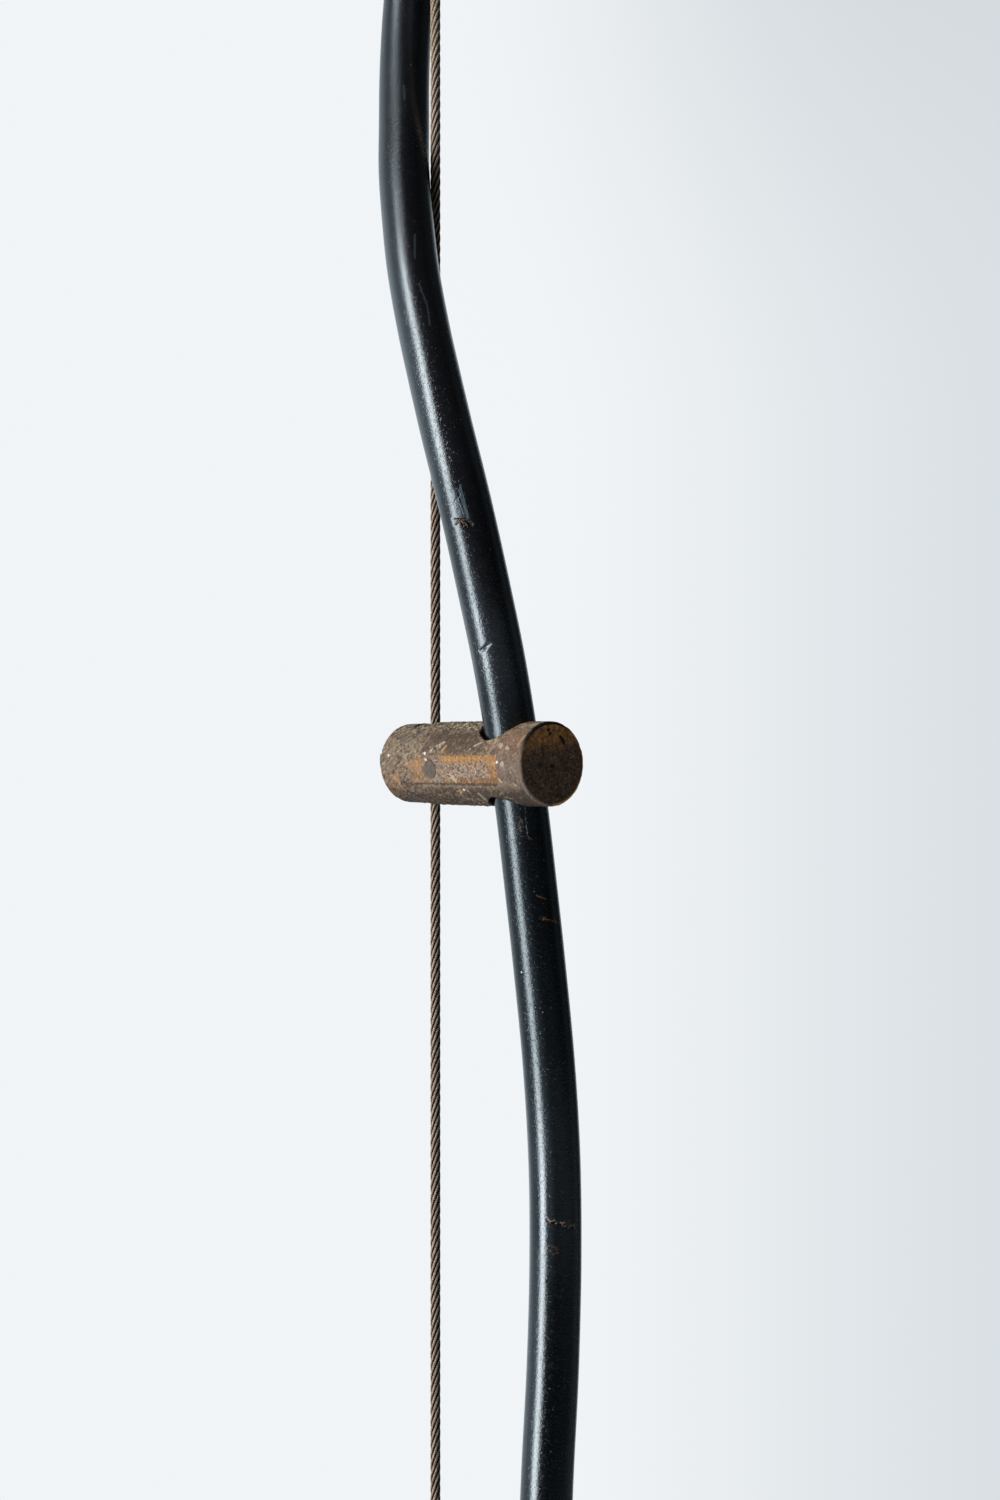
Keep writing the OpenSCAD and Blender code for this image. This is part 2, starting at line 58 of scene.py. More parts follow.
# A photographer's table: a level camera close to the line, one tall soft box to its left,
# and a pale sweep of paper far behind and below, which the metal and the rubber reflect.
def placed(name, data):
    """A new object in the scene."""
    made = bpy.data.objects.new(name, data)
    scene.collection.objects.link(made)
    return made


camera_data = bpy.data.cameras.new("camera")
camera_data.sensor_fit = "VERTICAL"
camera_data.sensor_height = 36
camera_data.lens = 61.75
camera_data.clip_start = 0.01
camera = placed("camera", camera_data)
camera.location = (0.01765, -0.6286, -0.2355)
camera.rotation_euler = (radians(90), 0, 0)
scene.camera = camera


class Wire:
    """A value in a shader's nodes; arithmetic on wires adds its Math nodes."""

    def __init__(self, tree, socket=None):
        self.tree, self.socket = tree, socket

    def node(self, kind, settings=None, sockets=None, out=0):
        made = self.tree.nodes.new("ShaderNode" + kind)
        for name, value in (settings or {}).items():
            setattr(made, name, value)
        for name, value in (sockets or {}).items():
            if isinstance(value, Wire):
                self.tree.links.new(value.socket, made.inputs[name])
            else:
                made.inputs[name].default_value = value
        return Wire(self.tree, made.outputs[out] if made.outputs else None)

    def math(self, operation, *values):
        return self.node("Math", {"operation": operation}, dict(enumerate(values)))

    def __add__(self, other): return self.math("ADD", self, other)
    def __radd__(self, other): return self.math("ADD", other, self)
    def __sub__(self, other): return self.math("SUBTRACT", self, other)
    def __rsub__(self, other): return self.math("SUBTRACT", other, self)
    def __mul__(self, other): return self.math("MULTIPLY", self, other)
    def __rmul__(self, other): return self.math("MULTIPLY", other, self)
    def __pow__(self, other): return self.math("POWER", self, other)
    def __abs__(self): return self.math("ABSOLUTE", self)


def step(value, low, high):
    """0 where the value is under low, 1 over high, smooth between."""
    return value.node(
        "MapRange", {"interpolation_type": "SMOOTHSTEP"}, {"Value": value, "From Min": low, "From Max": high}
    )


def mixed(share, first, second):
    """The first colour, turning into the second as the share goes from 0 to 1."""
    rgba = lambda color: color if isinstance(color, Wire) else (*color, 1)
    return share.node("Mix", {"data_type": "RGBA"}, {"Factor": share, 6: rgba(first), 7: rgba(second)}, out=2)


def coated(color, *coats):
    """The colour under coats of others, each with the share that it covers."""
    for share, paint in coats:
        color = mixed(share, color, paint)
    return color


def part_of(place, axis):
    return place.node("SeparateXYZ", sockets={0: place}, out="XYZ".index(axis))


def finish_of(name):
    """An empty material and the wire that starts its nodes."""
    material = bpy.data.materials.new(name)
    material.use_nodes = True
    material.node_tree.nodes.clear()
    return material, Wire(material.node_tree)


def sheet_of(name, corners, material):
    mesh = bpy.data.meshes.new(name)
    mesh.from_pydata(corners, [], [range(len(corners))])
    mesh.materials.append(material)
    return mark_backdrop(placed(name, mesh))


WALL_Y, FLOOR_Z = 2.2, -1.2
PAPER, UNLIT = (0.8, 0.82, 0.84), (0.03, 0.035, 0.04)

# The wall glows only for the camera and in gloss
wall_paper, wires = finish_of("wall_paper")
where = wires.node("NewGeometry", out=0)
across, height = part_of(where, "X"), part_of(where, "Z")
from_camera, in_gloss, through = (wires.node("LightPath", out=ray) for ray in (0, 3, 6))
seen = wires.math("MAXIMUM", wires.math("MAXIMUM", from_camera, in_gloss), through)
shade = mixed(step(across, 0.02, 0.62), (0.88, 0.906, 0.93), (0.7, 0.745, 0.775))
shade = coated(shade,
    (step(height, 0.1, 0.75) * step(across, -0.1, 0.5), (0.66, 0.7, 0.73)),
    (in_gloss, (0.74, 0.86, 0.93)),
    (in_gloss * step(across, 0.5, 2), UNLIT))
glow = wires.node("Emission", sockets={"Color": shade, "Strength": 1.0})
paper = wires.node("BsdfDiffuse", sockets={"Color": (*PAPER, 1)})
skin = wires.node("MixShader", sockets={0: seen, 1: paper, 2: glow})
wires.node("OutputMaterial", sockets={"Surface": skin})

floor_paper, wires = finish_of("floor_paper")
paper = wires.node("BsdfDiffuse", sockets={"Color": (*PAPER, 1)})
across = part_of(wires.node("NewGeometry", out=0), "X")
in_room = mixed(step(across, -0.3, -1.2), UNLIT, (0.37, 0.48, 0.56))
glow_color = mixed(wires.node("LightPath", out=0), in_room, PAPER)
glow = wires.node("Emission", sockets={"Color": glow_color, "Strength": 0.55})
skin = wires.node("AddShader", sockets={0: paper, 1: glow})
wires.node("OutputMaterial", sockets={"Surface": skin})

foot = [(-5, WALL_Y, FLOOR_Z), (5, WALL_Y, FLOOR_Z)]
sheet_of("backdrop", foot + [(5, WALL_Y, 4), (-5, WALL_Y, 4)], wall_paper)
sheet_of("floor", [(-5, -5, FLOOR_Z), (5, -5, FLOOR_Z)] + foot[::-1], floor_paper)

# The room that gloss shows: pale behind and at the left, dark round the camera
world = bpy.data.worlds.new("room")
scene.world = world
world.use_nodes = True
world.node_tree.nodes.clear()
wires = Wire(world.node_tree)
direction = wires.node("TexCoord", out=0)
to_right, to_back = part_of(direction, "X"), part_of(direction, "Y")
at_left = step(0 - to_right, 0.55, 1) * step(to_back, -0.6, -0.1)
behind = step(to_back - 0.5 * step(to_right, 0, 0.5), 0.25, 0.95)
at_right = step(to_right, 0.6, 0.95) * step(to_back, -0.1, 0.1)
room = 0.025 + 0.85 * behind + 0.66 * at_left + 0.07 * at_right
room_color = mixed(room, (0, 0, 0), (0.72, 0.84, 0.92))
room_color = mixed(0.6 * at_left, room_color, (0.33, 0.46, 0.56))
color = mixed(wires.node("LightPath", out=0), room_color, (0.86, 0.89, 0.92))
lit = wires.node("Background", sockets={"Color": color, "Strength": 1.0})
wires.node("OutputWorld", sockets={"Surface": lit})


def soft_box(name, place, target, width, height, radiance, color):
    light = bpy.data.lights.new(name, "AREA")
    light.shape, light.size, light.size_y = "RECTANGLE", width, height
    light.energy = radiance * pi * width * height
    light.color = color
    lamp = placed(name, light)
    lamp.location = place
    lamp.rotation_euler = (Vector(target) - Vector(place)).to_track_quat("-Z", "Y").to_euler()


soft_box("soft_box", (-1.01, -0.67, 0.05), (0.02, -0.06, 0.05), 0.49, 2.1, 8.2, (0.92, 0.97, 1.0))
soft_box("upper_box", (-0.69, -0.5, 1.3), (0.02, -0.06, -0.2355), 0.55, 0.5, 2.6, (0.92, 0.97, 1.0))

# ----- cable

# Heavy black rubber cable, 11.7 mm thick. It comes out of the top gland behind the rope, leans
# forward through the carrier bar and goes down into the bottom gland; both glands grip it.
MM = 0.001
CABLE_D = 11.7
CABLE_TILT = radians(10.6)
BAR_TURN = radians(-51)
CABLE_ALONG_BAR = 28.55
SHEATH_HIGH, SHEATH_LOW = 227, -223
FRONT, SHARP_EDGE = np.array([0.0, -1.0, 0.0]), 35


def row_point(x, y, z):
    """A point in mm from the bar's height on the rope, as metres from the top bracket's mount."""
    return np.stack([np.asarray(x) + 3.0, np.asarray(y) - 45.0, np.asarray(z) - 238.5], -1) * MM


def in_row(points):
    return row_point(*np.moveaxis(points, -1, 0))


def in_hole(z):
    """A point of the cable's axis in the bar's tilted hole."""
    u = -z * tan(CABLE_TILT)
    return (CABLE_ALONG_BAR * cos(BAR_TURN) - u * sin(BAR_TURN),
            CABLE_ALONG_BAR * sin(BAR_TURN) + u * cos(BAR_TURN), z)


ROUTE = np.array([
    (-6, 18.5, 249), (-6, 18.5, 200), (-6.1, 18.3, 192), (-6.4, 17.2, 182), (-7.1, 14.5, 170),
    (-7.4, 10.4, 158), (-7.3, 5.4, 146), (-7.1, -0.2, 134), (-6.1, -5.8, 122), (-4.7, -11.3, 110),
    (-2.2, -17.2, 96), (0.4, -22.3, 84), (3.2, -26.3, 72), (6.2, -29, 60), (9, -30, 48),
    (11.6, -29, 36), (14.1, -26.5, 24), in_hole(11), in_hole(0), in_hole(-11),
    (21.3, -19.7, -26), (23.3, -18.5, -44), (25.4, -17, -66), (26.7, -15.6, -88), (26.9, -15.3, -110),
    (26.3, -17.2, -132), (25.1, -20.6, -154), (24.3, -23.3, -174), (24, -24, -186), (24, -24, -198),
    (24, -24, -245),
])
padded = np.pad(ROUTE, ((1, 1), (0, 0)), "edge")
reach = padded[2:] - padded[:-2]
SLOPES = reach[:, :2] / reach[:, 2:]


def on_route(heights):
    """Points of the cable's axis at these heights in mm, on a smooth curve."""
    heights = np.asarray(heights, float)
    i = np.clip(np.searchsorted(-ROUTE[:, 2], -heights, side="right") - 1, 0, len(ROUTE) - 2)
    run = (ROUTE[i + 1, 2] - ROUTE[i, 2])[:, None]
    t = (heights[:, None] - ROUTE[i, 2][:, None]) / run
    flat = ((2 * t**3 - 3 * t**2 + 1) * ROUTE[i, :2] + (t**3 - 2 * t**2 + t) * SLOPES[i] * run
            + (3 * t**2 - 2 * t**3) * ROUTE[i + 1, :2] + (t**3 - t**2) * SLOPES[i + 1] * run)
    return np.column_stack([flat, heights])


def unit(v):
    return v / np.linalg.norm(v, axis=-1, keepdims=True)


def cable_frame(heights):
    """Axis points at these heights, with the directions to front and right."""
    centres = on_route(heights)
    way = unit(on_route(np.asarray(heights) - 0.5) - on_route(np.asarray(heights) + 0.5))
    front = unit(FRONT - way * (way @ FRONT)[:, None])
    return centres, front, np.cross(front, way)


def even_turn(sides):
    return np.linspace(0, 2 * pi, sides, endpoint=False)


def tube(line, first, second, angles, radius):
    """Rings of points round a line: the first direction is at angle 0, the second at a quarter turn."""
    turn = angles[None, :, None]
    return line[:, None] + radius * (np.cos(turn) * first[:, None] + np.sin(turn) * second[:, None])


def woven(name, rings, body=None, looped=False):
    """A mesh through rings of points in metres, capped or looped back to its first ring."""
    count, sides = rings.shape[:2]
    ring = np.arange(count if looped else count - 1)[:, None] * sides
    after = (ring + sides) % (count * sides)
    k, j = np.arange(sides), (np.arange(sides) + 1) % sides
    faces = np.stack([ring + k, ring + j, after + j, after + k], -1).reshape(-1, 4).tolist()
    if not looped:
        faces += [list(range(sides))[::-1], list(range((count - 1) * sides, count * sides))]
    mesh = bpy.data.meshes.new(name)
    mesh.from_pydata(rings.reshape(-1, 3).tolist(), [], faces)
    made = bmesh.new()
    made.from_mesh(mesh)
    bmesh.ops.recalc_face_normals(made, faces=made.faces)
    made.to_mesh(mesh)
    made.free()
    mesh.shade_smooth()
    mesh.set_sharp_from_angle(angle=radians(SHARP_EDGE))
    piece = placed(name, mesh)
    if body:
        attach(piece, body)
    return piece


def marked(piece, name, values):
    """Stores a place or a value at each point of a mesh."""
    values = np.asarray(values, np.float32)
    kind = "FLOAT_VECTOR" if values.ndim > 1 else "FLOAT"
    attribute = piece.data.attributes.new(name, kind, "POINT")
    attribute.data.foreach_set("vector" if values.ndim > 1 else "value", values.ravel())


def dress(piece, skin, node):
    """Gives a piece its finish and hides the solid that it stands in for."""
    piece.data.materials.append(skin)
    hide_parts(node)
    return piece


def surface(color, roughness, metallic=0, bump=None, bump_mm=0.05, dull=None, constants=None):
    """The shader and the output. Bump is in shares of bump_mm; where dull is 1, gloss is weaker."""
    normal = color.node("Bump", sockets={"Strength": 1.0, "Distance": bump_mm * MM, "Height": bump})
    sockets = {"Base Color": color, "Roughness": roughness, "Metallic": metallic, "Normal": normal,
               **(constants or {})}
    shader = color.node("BsdfPrincipled", sockets=sockets)
    if dull is not None:
        sockets.update({"Specular IOR Level": 0.4, "Specular Tint": (0.79, 0.93, 1.0, 1)})
        weak = color.node("BsdfPrincipled", sockets=sockets)
        shader = color.node("MixShader", sockets={0: dull, 1: shader, 2: weak})
    color.node("OutputMaterial", sockets={"Surface": shader})


def place_of(wires, name=None):
    """The place on the piece in mm: a stored one, or the point in the piece's own space."""
    if name:
        return wires.node("Attribute", {"attribute_name": name}, out=1)
    place = wires.node("TexCoord", out=3)
    return place.node("VectorMath", {"operation": "SCALE"}, {0: place, "Scale": 1000.0})


def skin_of(name):
    """A finish laid by the place on the piece."""
    material, wires = finish_of(name)
    return material, place_of(wires)


def grain(place, size, detail=2, roughness=0.5, stretch=None):
    """Noise whose spots are about this many mm across."""
    if stretch:
        place = place.node("VectorMath", {"operation": "MULTIPLY"}, {0: place, 1: stretch})
    return place.node("TexNoise", sockets={
        "Vector": place, "Scale": 1.0 / size, "Detail": detail, "Roughness": roughness})


rubber, wires = finish_of("cable_rubber")
straight = place_of(wires, "straight")
unrolled = place_of(wires, "unrolled")
arc, along = part_of(unrolled, "X"), part_of(unrolled, "Y")


def mark(u, v, shake, ax, ay, bx, by, width, wobble):
    """A ragged mark between two places on an unrolled surface, in mm."""
    length = hypot(bx - ax, by - ay)
    ux, uy = (bx - ax) / length, (by - ay) / length
    dx, dy = u - ax + shake * (2 * wobble), v - ay + shake * (2 * wobble)
    run = dx * ux + dy * uy
    over = run - run.math("MINIMUM", run.math("MAXIMUM", run, 0), length)
    side = dx * uy - dy * ux
    return 1 - step((over * over + side * side) ** 0.5, width * 0.35, width * 0.75)


ragged = grain(straight, 0.8) - 0.5


def stroke(*ends_and_width):
    return mark(arc, along, ragged, *ends_and_width)


film = grain(straight, 3, 4, 0.6)
spots = grain(straight, 0.55, 2, 0.6)
fine = grain(straight, 0.22, 2, 0.7)
bloom = step(along, -20, 40)
clean = mixed(bloom, (0.0004, 0.0007, 0.0012), (0.0062, 0.0058, 0.0074))
filmed = mixed(bloom, (0.001, 0.0018, 0.0028), (0.0098, 0.0092, 0.0114))
color = mixed(step(film, 0.35, 0.75), clean, filmed)
color = coated(color,
    (step(grain(straight, 0.42, 1), 0.7, 0.76) * step(film, 0.45, 0.6), (0.085, 0.072, 0.06)),
    (step(grain(straight, 0.75, 1), 0.76, 0.785), (0.2, 0.13, 0.08)))
scuff = stroke(-0.9, 57.2, -0.6, 52.8, 2.2, 0.6)
ribs = grain(unrolled, 0.5, 2, 0.6, (1, 0.16, 1))
scrape = (stroke(-0.2, 58.8, -0.05, 52.1, 0.32, 0.05) + stroke(-0.7, 57.9, -0.3, 51.9, 0.3, 0.05)
          + stroke(-1.4, 56.2, -0.8, 52.2, 0.3, 0.05) + 0.7 * stroke(-2, 55.6, -1.3, 52.6, 0.3, 0.05))
frayed = (stroke(-3.5, 52.65, -1.3, 51.9, 0.55, 0.4) + stroke(-3.4, 51.6, -2.2, 51.9, 0.55, 0.3)
          + stroke(-1, 51.6, -0.1, 50.9, 1.7, 0.5))
slit = (stroke(-3.7, 25.9, -1.3, 27.2, 0.6, 0.15) + 0.8 * stroke(-3.5, 55.8, -2.4, 55.7, 0.36, 0.2)
        + 0.8 * stroke(-2.4, 55.7, -0.7, 57, 0.4, 0.2))
crack = stroke(0.5, -8.6, 0.1, -11.2, 0.7, 0.5) + stroke(0.1, -11.2, 0.3, -15.6, 0.6, 0.5)
flakes = (stroke(-0.75, -11.3, -0.7, -13.7, 1, 0.6) * step(grain(straight, 0.6), 0.42, 0.54)
          + 0.6 * stroke(-1.4, -14.6, 1.4, -16.2, 0.3, 0.6))
debris = stroke(-2.3, -99.4, 0.2, -100.4, 0.65, 0.8) + stroke(0.2, -100.2, 4.9, -101.8, 0.6, 0.8)
debris = step(debris * step(grain(straight, 0.5, 1), 0.5, 0.58), 0.1, 0.5)
hair = (stroke(1.2, -33.2, 7.4, -35.4, 0.38, 0.5) * step(grain(straight, 0.5), 0.42, 0.52)
        + 0.5 * stroke(1, -28.3, 3.1, -29.4, 0.25, 0.2))
smudge = stroke(-0.9, -105.9, -0.2, -106.6, 1.9, 0.8) * step(grain(straight, 0.6), 0.42, 0.58)
nick = stroke(-1.5, -113.4, -0.4, -111.8, 0.9, 0.5)
dust = stroke(-4.6, -44.7, -4.55, -44.8, 0.32, 0.05)
faint = (stroke(0.1, 152.2, 0.3, 148.6, 0.5, 0.4) + stroke(1.5, 114.5, 0.8, 109, 0.45, 0.3)
         + stroke(0.8, 103, 1.8, 97.6, 0.45, 0.3) + stroke(1.8, 97.6, 1.5, 93, 0.4, 0.3))
threads = mixed(step(grain(straight, 0.5), 0.56, 0.68), (0.002, 0.001, 0.001), (0.03, 0.012, 0.006))
color = coated(color,
    (scuff * step(ribs, 0.4, 0.6), (0.012, 0.02, 0.028)),
    (scrape * 0.8, (0.1, 0.122, 0.142)),
    (step(faint, 0.2, 1) * 0.7, (0.055, 0.06, 0.064)),
    (frayed, threads),
    (flakes, (0.085, 0.062, 0.046)),
    (step(smudge, 0.1, 0.9) * 0.8, (0.05, 0.022, 0.012)),
    (step(debris + hair, 0.1, 0.7), (0.26, 0.11, 0.036)),
    (dust, (0.75, 0.68, 0.6)),
    (step(slit + crack + nick, 0.1, 0.9), (0.002, 0.002, 0.002)))
pits = step(grain(straight, 0.62, 1), 0.6, 0.68)
pits = pits * (0.65 + 0.35 * step(along, -100, -62)) * step(along, 130, 70)
gloss = (0.18 + 0.05 * step(spots, 0.4, 0.7) + 0.1 * step(film, 0.55, 0.8) + 0.12 * pits
         + 0.1 * step(along, 110, 150) - 0.09 * step(along, -86, -94) * step(along, -112, -102)
         + 0.15 * smudge + 0.3 * step(debris, 0.1, 1) + 0.06 * step(frayed + crack + scuff, 0.1, 1))
relief = (spots + 0.7 * fine + 1.1 * ribs * scuff - 1.4 * step(slit + crack, 0, 1)
          + 0.7 * debris - 0.4 * nick - 0.5 * pits)
handled = (0.6 * step(along, 25, 13) * step(along, -90, -58) + 0.8 * step(along, 95, 150)
           + 0.45 * step(along, 30, 40) * step(along, 66, 56))
surface(color, gloss.math("MINIMUM", gloss, 0.9), bump=relief, bump_mm=0.033, dull=handled,
        constants={"Specular IOR Level": 1.0, "IOR": 1.6, "Specular Tint": (0.9, 0.965, 1.0, 1)})


def hollow(arcs, heights, ax, ay, bx, by, width, depth):
    """How far a mark between two places on the unrolled cable sinks into it, in mm."""
    length = hypot(bx - ax, by - ay)
    run = np.clip(((arcs - ax) * (bx - ax) + (heights - ay) * (by - ay)) / length**2, 0, 1)
    gap = np.hypot(arcs - ax - run * (bx - ax), heights - ay - run * (by - ay))
    return depth * np.clip(1 - gap / width, 0, 1) ** 1.5


def sheath_rings(high, low):
    """Uneven rings of the sheath, close together at its scars, with their places."""
    scars = [(63, 49), (28, 25), (-8, -18), (-33, -37), (-99, -104), (-112, -116)]
    heights = [high]
    while heights[-1] > low:
        near = any(a + 1 > heights[-1] > b - 1 for a, b in scars)
        heights.append(max(heights[-1] - (0.25 if near else 1.0), low))
    heights = np.array(heights)
    angles = np.linspace(-pi, pi, 96, endpoint=False)
    radius = CABLE_D / 2
    arcs, levels = np.meshgrid(radius * angles, heights)
    wave = np.array([
        [noise.noise((cos(a) * 0.6, sin(a) * 0.6, h * 0.035)) for a in angles] for h in heights])
    swell = radius - 0.07 + 0.06 * wave
    for scar in (
        (-3.5, 52.6, -1.3, 51.9, 0.6, 0.25), (-3.4, 51.6, -2.2, 51.9, 0.5, 0.2),
        (-1.0, 51.6, -0.1, 50.9, 1.2, 0.45), (-3.7, 25.9, -1.3, 27.2, 0.5, 0.35),
        (0.5, -8.6, 0.2, -15.6, 0.5, 0.12), (-1.9, -99.7, 4.9, -101.7, 0.5, 0.07),
        (-1.5, -113.4, -0.4, -111.8, 0.7, 0.09),
    ):
        swell -= hollow(arcs, levels, *scar)
    swell = np.minimum(swell, radius - 0.005)
    centres, front, right = cable_frame(heights)
    points = tube(centres, front, right, angles, swell[..., None])
    straight = np.stack([radius * np.sin(arcs / radius), -radius * np.cos(arcs / radius), levels], -1)
    return points, straight, np.stack([arcs, levels, np.zeros_like(arcs)], -1)


def bend(piece):
    """Bakes the piece's placement into its mesh."""
    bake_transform(piece)


def half_cable(name, high, low):
    """The sheath between two heights."""
    points, straight, unrolled = sheath_rings(high, low)
    piece = woven(name, in_row(points))
    marked(piece, "straight", straight.reshape(-1, 3))
    marked(piece, "unrolled", unrolled.reshape(-1, 3))
    bend(piece)
    dress(piece, rubber, "cable_sheath")
    path = on_route(np.arange(high, low - 0.01, -2))
    row_point(*on_route([high if high > 0 else low])[0]).tolist()


half_cable("cable_upper", SHEATH_HIGH, 0)
half_cable("cable_lower", 0, SHEATH_LOW)

torn_rubber, place = skin_of("torn_rubber")
tangle = grain(place, 0.8)
surface(mixed(step(tangle, 0.4, 0.6), (0.05, 0.022, 0.011), (0.19, 0.105, 0.058)), 0.75, bump=tangle)


def fibre(name, places, thick):
    """A loose fibre at the frayed cut, through places round, up and off the cable."""
    turns = np.linspace(0, len(places) - 1, 5 * len(places))
    arcs, levels, lifts = (np.interp(turns, range(len(places)), part) for part in zip(*places))
    centres, front, right = cable_frame(levels)
    turn = (arcs / (CABLE_D / 2))[:, None]
    line = centres + (np.sin(turn) * right + np.cos(turn) * front) * (CABLE_D / 2 + lifts[:, None])
    way = unit(np.gradient(line, axis=0))
    side = unit(np.cross(way, front))
    wide = (thick * np.sin(np.linspace(0.25, pi - 0.25, len(line))) ** 0.5)[:, None, None]
    piece = woven(name, in_row(tube(line, side, np.cross(side, way), even_turn(6), wide)))
    bend(piece)
    dress(piece, torn_rubber, "cable_sheath")


for number, (thick, *places) in enumerate((
    (0.16, (-3.6, 52.7, 0.02), (-2.6, 52.5, 0.12), (-1.6, 52, 0.14), (-0.9, 51.2, 0.1), (-0.6, 50.4, -0.02)),
    (0.13, (-3.5, 51.5, 0), (-2.8, 51.8, 0.06), (-2, 51.9, 0.06), (-1.4, 52.1, -0.05)),
    (0.13, (-1.9, 51.9, 0), (-1.4, 51.4, 0.1), (-1.2, 50.6, 0)),
    (0.1, (-1.6, 52.3, 0), (-0.9, 51.9, 0.06), (0, 51.7, -0.04)),
)):
    fibre(f"fibre_{number + 1}", places, thick)

# ----- wire rope

# Steel wire rope, 2.1 mm: six strands of seven wires laid right-handed round a core strand, greasy
# and tarnished brown. Both ends are swaged into threaded studs, which hold it taut.
ROPE_R, STRAND_R, ROPE_LAY, WIRE_LAY = 1.15, 0.39, 15.2, 7.0
rope_steel, wires = finish_of("rope_steel")
twist = place_of(wires, "twist")
depth = part_of(twist, "X")
place = place_of(wires)
grime = grain(place, 1.6, 3, 0.6)
bright = grain(place, 0.35, 2, 0.6)
level = part_of(place, "Z")
color = mixed(step(grime, 0.4, 0.6), (0.25, 0.15, 0.092), (0.36, 0.245, 0.162))
color = coated(color,
    (step(bright, 0.55, 0.68) * 0.7, (0.44, 0.35, 0.26)),
    (0.35 * step(level, -135, -95), (0.42, 0.33, 0.24)),
    # Painted shade: the grooves between the strands are painted near black, less so towards the top
    (step(depth, 0.955, 0.86) * (1 - 0.55 * step(level, -110, -75)), (0.008, 0.009, 0.01)))
surface(color, 0.46 + 0.3 * grime, 0.15, bump=bright, bump_mm=0.04)


def strand(number, heights):
    """Rings of one strand: six wires round one, twisted against the rope's own lay."""
    turns = 2 * pi * (heights / ROPE_LAY + number / 6)
    orbit = ROPE_R - STRAND_R
    centres = np.stack([orbit * np.cos(turns), orbit * np.sin(turns), heights], -1)
    out = np.stack([np.cos(turns), np.sin(turns), np.zeros_like(turns)], -1)
    climb = 2 * pi * orbit / ROPE_LAY
    way = unit(np.stack([-climb * np.sin(turns), climb * np.cos(turns), np.ones_like(turns)], -1))
    angles = even_turn(18)
    wires_turn = angles[None] + 2 * pi * heights[:, None] / WIRE_LAY
    lobed = STRAND_R * (0.88 + 0.12 * np.abs(np.cos(3 * wires_turn)))
    return tube(centres, out, np.cross(way, out), angles, lobed[..., None])


heights = np.linspace(181, -177, 620)
for number in range(6):
    points = strand(number, heights)
    piece = woven(f"strand_{number + 1}", in_row(points), "line")
    marked(piece, "twist", (np.hypot(points[..., 0], points[..., 1]) / ROPE_R).ravel())
    dress(piece, rope_steel, "wire_rope")

# ----- cores and ferrules

# Three rubber-insulated cores of 2.5 mm2, brown, blue, and green with yellow, spread out of each
# end of the sheath; each is stripped and crimped into a tinned ferrule with a plastic collar.
CORE_D, CORE_LAY, CORE_TAIL = 3.5, 180, 22
CORE_ORBIT, TAIL_ORBIT, TAIL_SPREAD = CORE_D / 2 / cos(radians(30)) + 0.12, 5.4, 12


def core_line(number, heights):
    """Axis of a core at these heights, wound round the cable's axis and spread past the sheath."""
    centres, front, right = cable_frame(heights)
    x = unit(np.array([1.0, 0, 0]) - np.cross(front, right) * np.cross(front, right)[:, :1])
    y = np.cross(unit(on_route(heights - 0.5) - on_route(heights + 0.5)), x)
    past = np.maximum(np.maximum(heights - SHEATH_HIGH, SHEATH_LOW - heights), 0)
    share = np.clip(past / TAIL_SPREAD, 0, 1)
    orbit = CORE_ORBIT + (TAIL_ORBIT - CORE_ORBIT) * (3 * share**2 - 2 * share**3)
    turn = np.radians(120 * number + 360 * np.clip(heights, SHEATH_LOW, SHEATH_HIGH) / CORE_LAY)
    return centres + orbit[:, None] * (np.cos(turn)[:, None] * x + np.sin(turn)[:, None] * y)


def insulation(name, color, stripe=None):
    """Matt rubber insulation, perhaps with a stripe along it."""
    material, place = skin_of(name)
    dust = grain(place, 1.8, 3, 0.6)
    paint = mixed(step(dust, 0.3, 0.8), color, tuple(0.72 * c + 0.03 for c in color))
    if stripe:
        side = part_of(place_of(place, "round"), "X")
        paint = mixed(step(side, -0.12, 0.02), paint, stripe)
    paint = mixed(step(grain(place, 0.5), 0.7, 0.78), paint, (0.05, 0.045, 0.04))
    surface(paint, 0.42 + 0.25 * dust, bump=grain(place, 0.4, 2), bump_mm=0.03)
    return material


for number, (node, *colors) in enumerate((
    ("core_brown", (0.085, 0.03, 0.012)),
    ("core_blue", (0.012, 0.06, 0.26)),
    ("core_striped", (0.035, 0.15, 0.02), (0.62, 0.46, 0.02)),
)):
    skin = insulation(node, *colors)
    for end, levels in (("top", np.linspace(222, 249, 40)), ("bottom", np.linspace(-218, -245, 40))):
        line = core_line(number, levels)
        way = unit(np.gradient(line, axis=0))
        side = unit(np.cross(way, [0.0, 1.0, 0.0]))
        angles = even_turn(24)
        points = tube(line, side, np.cross(way, side), angles, CORE_D / 2)
        piece = woven(f"{node}_{end}", in_row(points), "line")
        marked(piece, "round", np.broadcast_to(np.cos(angles), points.shape[:2]).ravel())
        dress(piece, skin, node)


def lathe(name, outline, place, skin, node, sides=96, body="line"):
    """A turned piece, looped round a bore if its outline starts off the axis. Each point is a radius, a
    height and perhaps a cut, which gives the radius that a thread or flats leave at an angle."""
    angles = even_turn(sides)
    rings = []
    for radius, height, *cut in outline:
        around = cut[0](angles, height, radius) if cut else np.full(sides, float(max(radius, 0.01)))
        rings.append(place(around * np.cos(angles), around * np.sin(angles), np.full(sides, float(height))))
    return dress(woven(name, np.array(rings), body, outline[0][0] > 0), skin, node)


def flats(count, across, turn=0.0):
    """Cuts a round block down to so many flats."""
    def cut(angles, height, radius):
        near = (angles - turn) % (2 * pi / count) - pi / count
        return np.minimum(radius, across / 2 / np.cos(pi / count - np.abs(near)))
    return cut


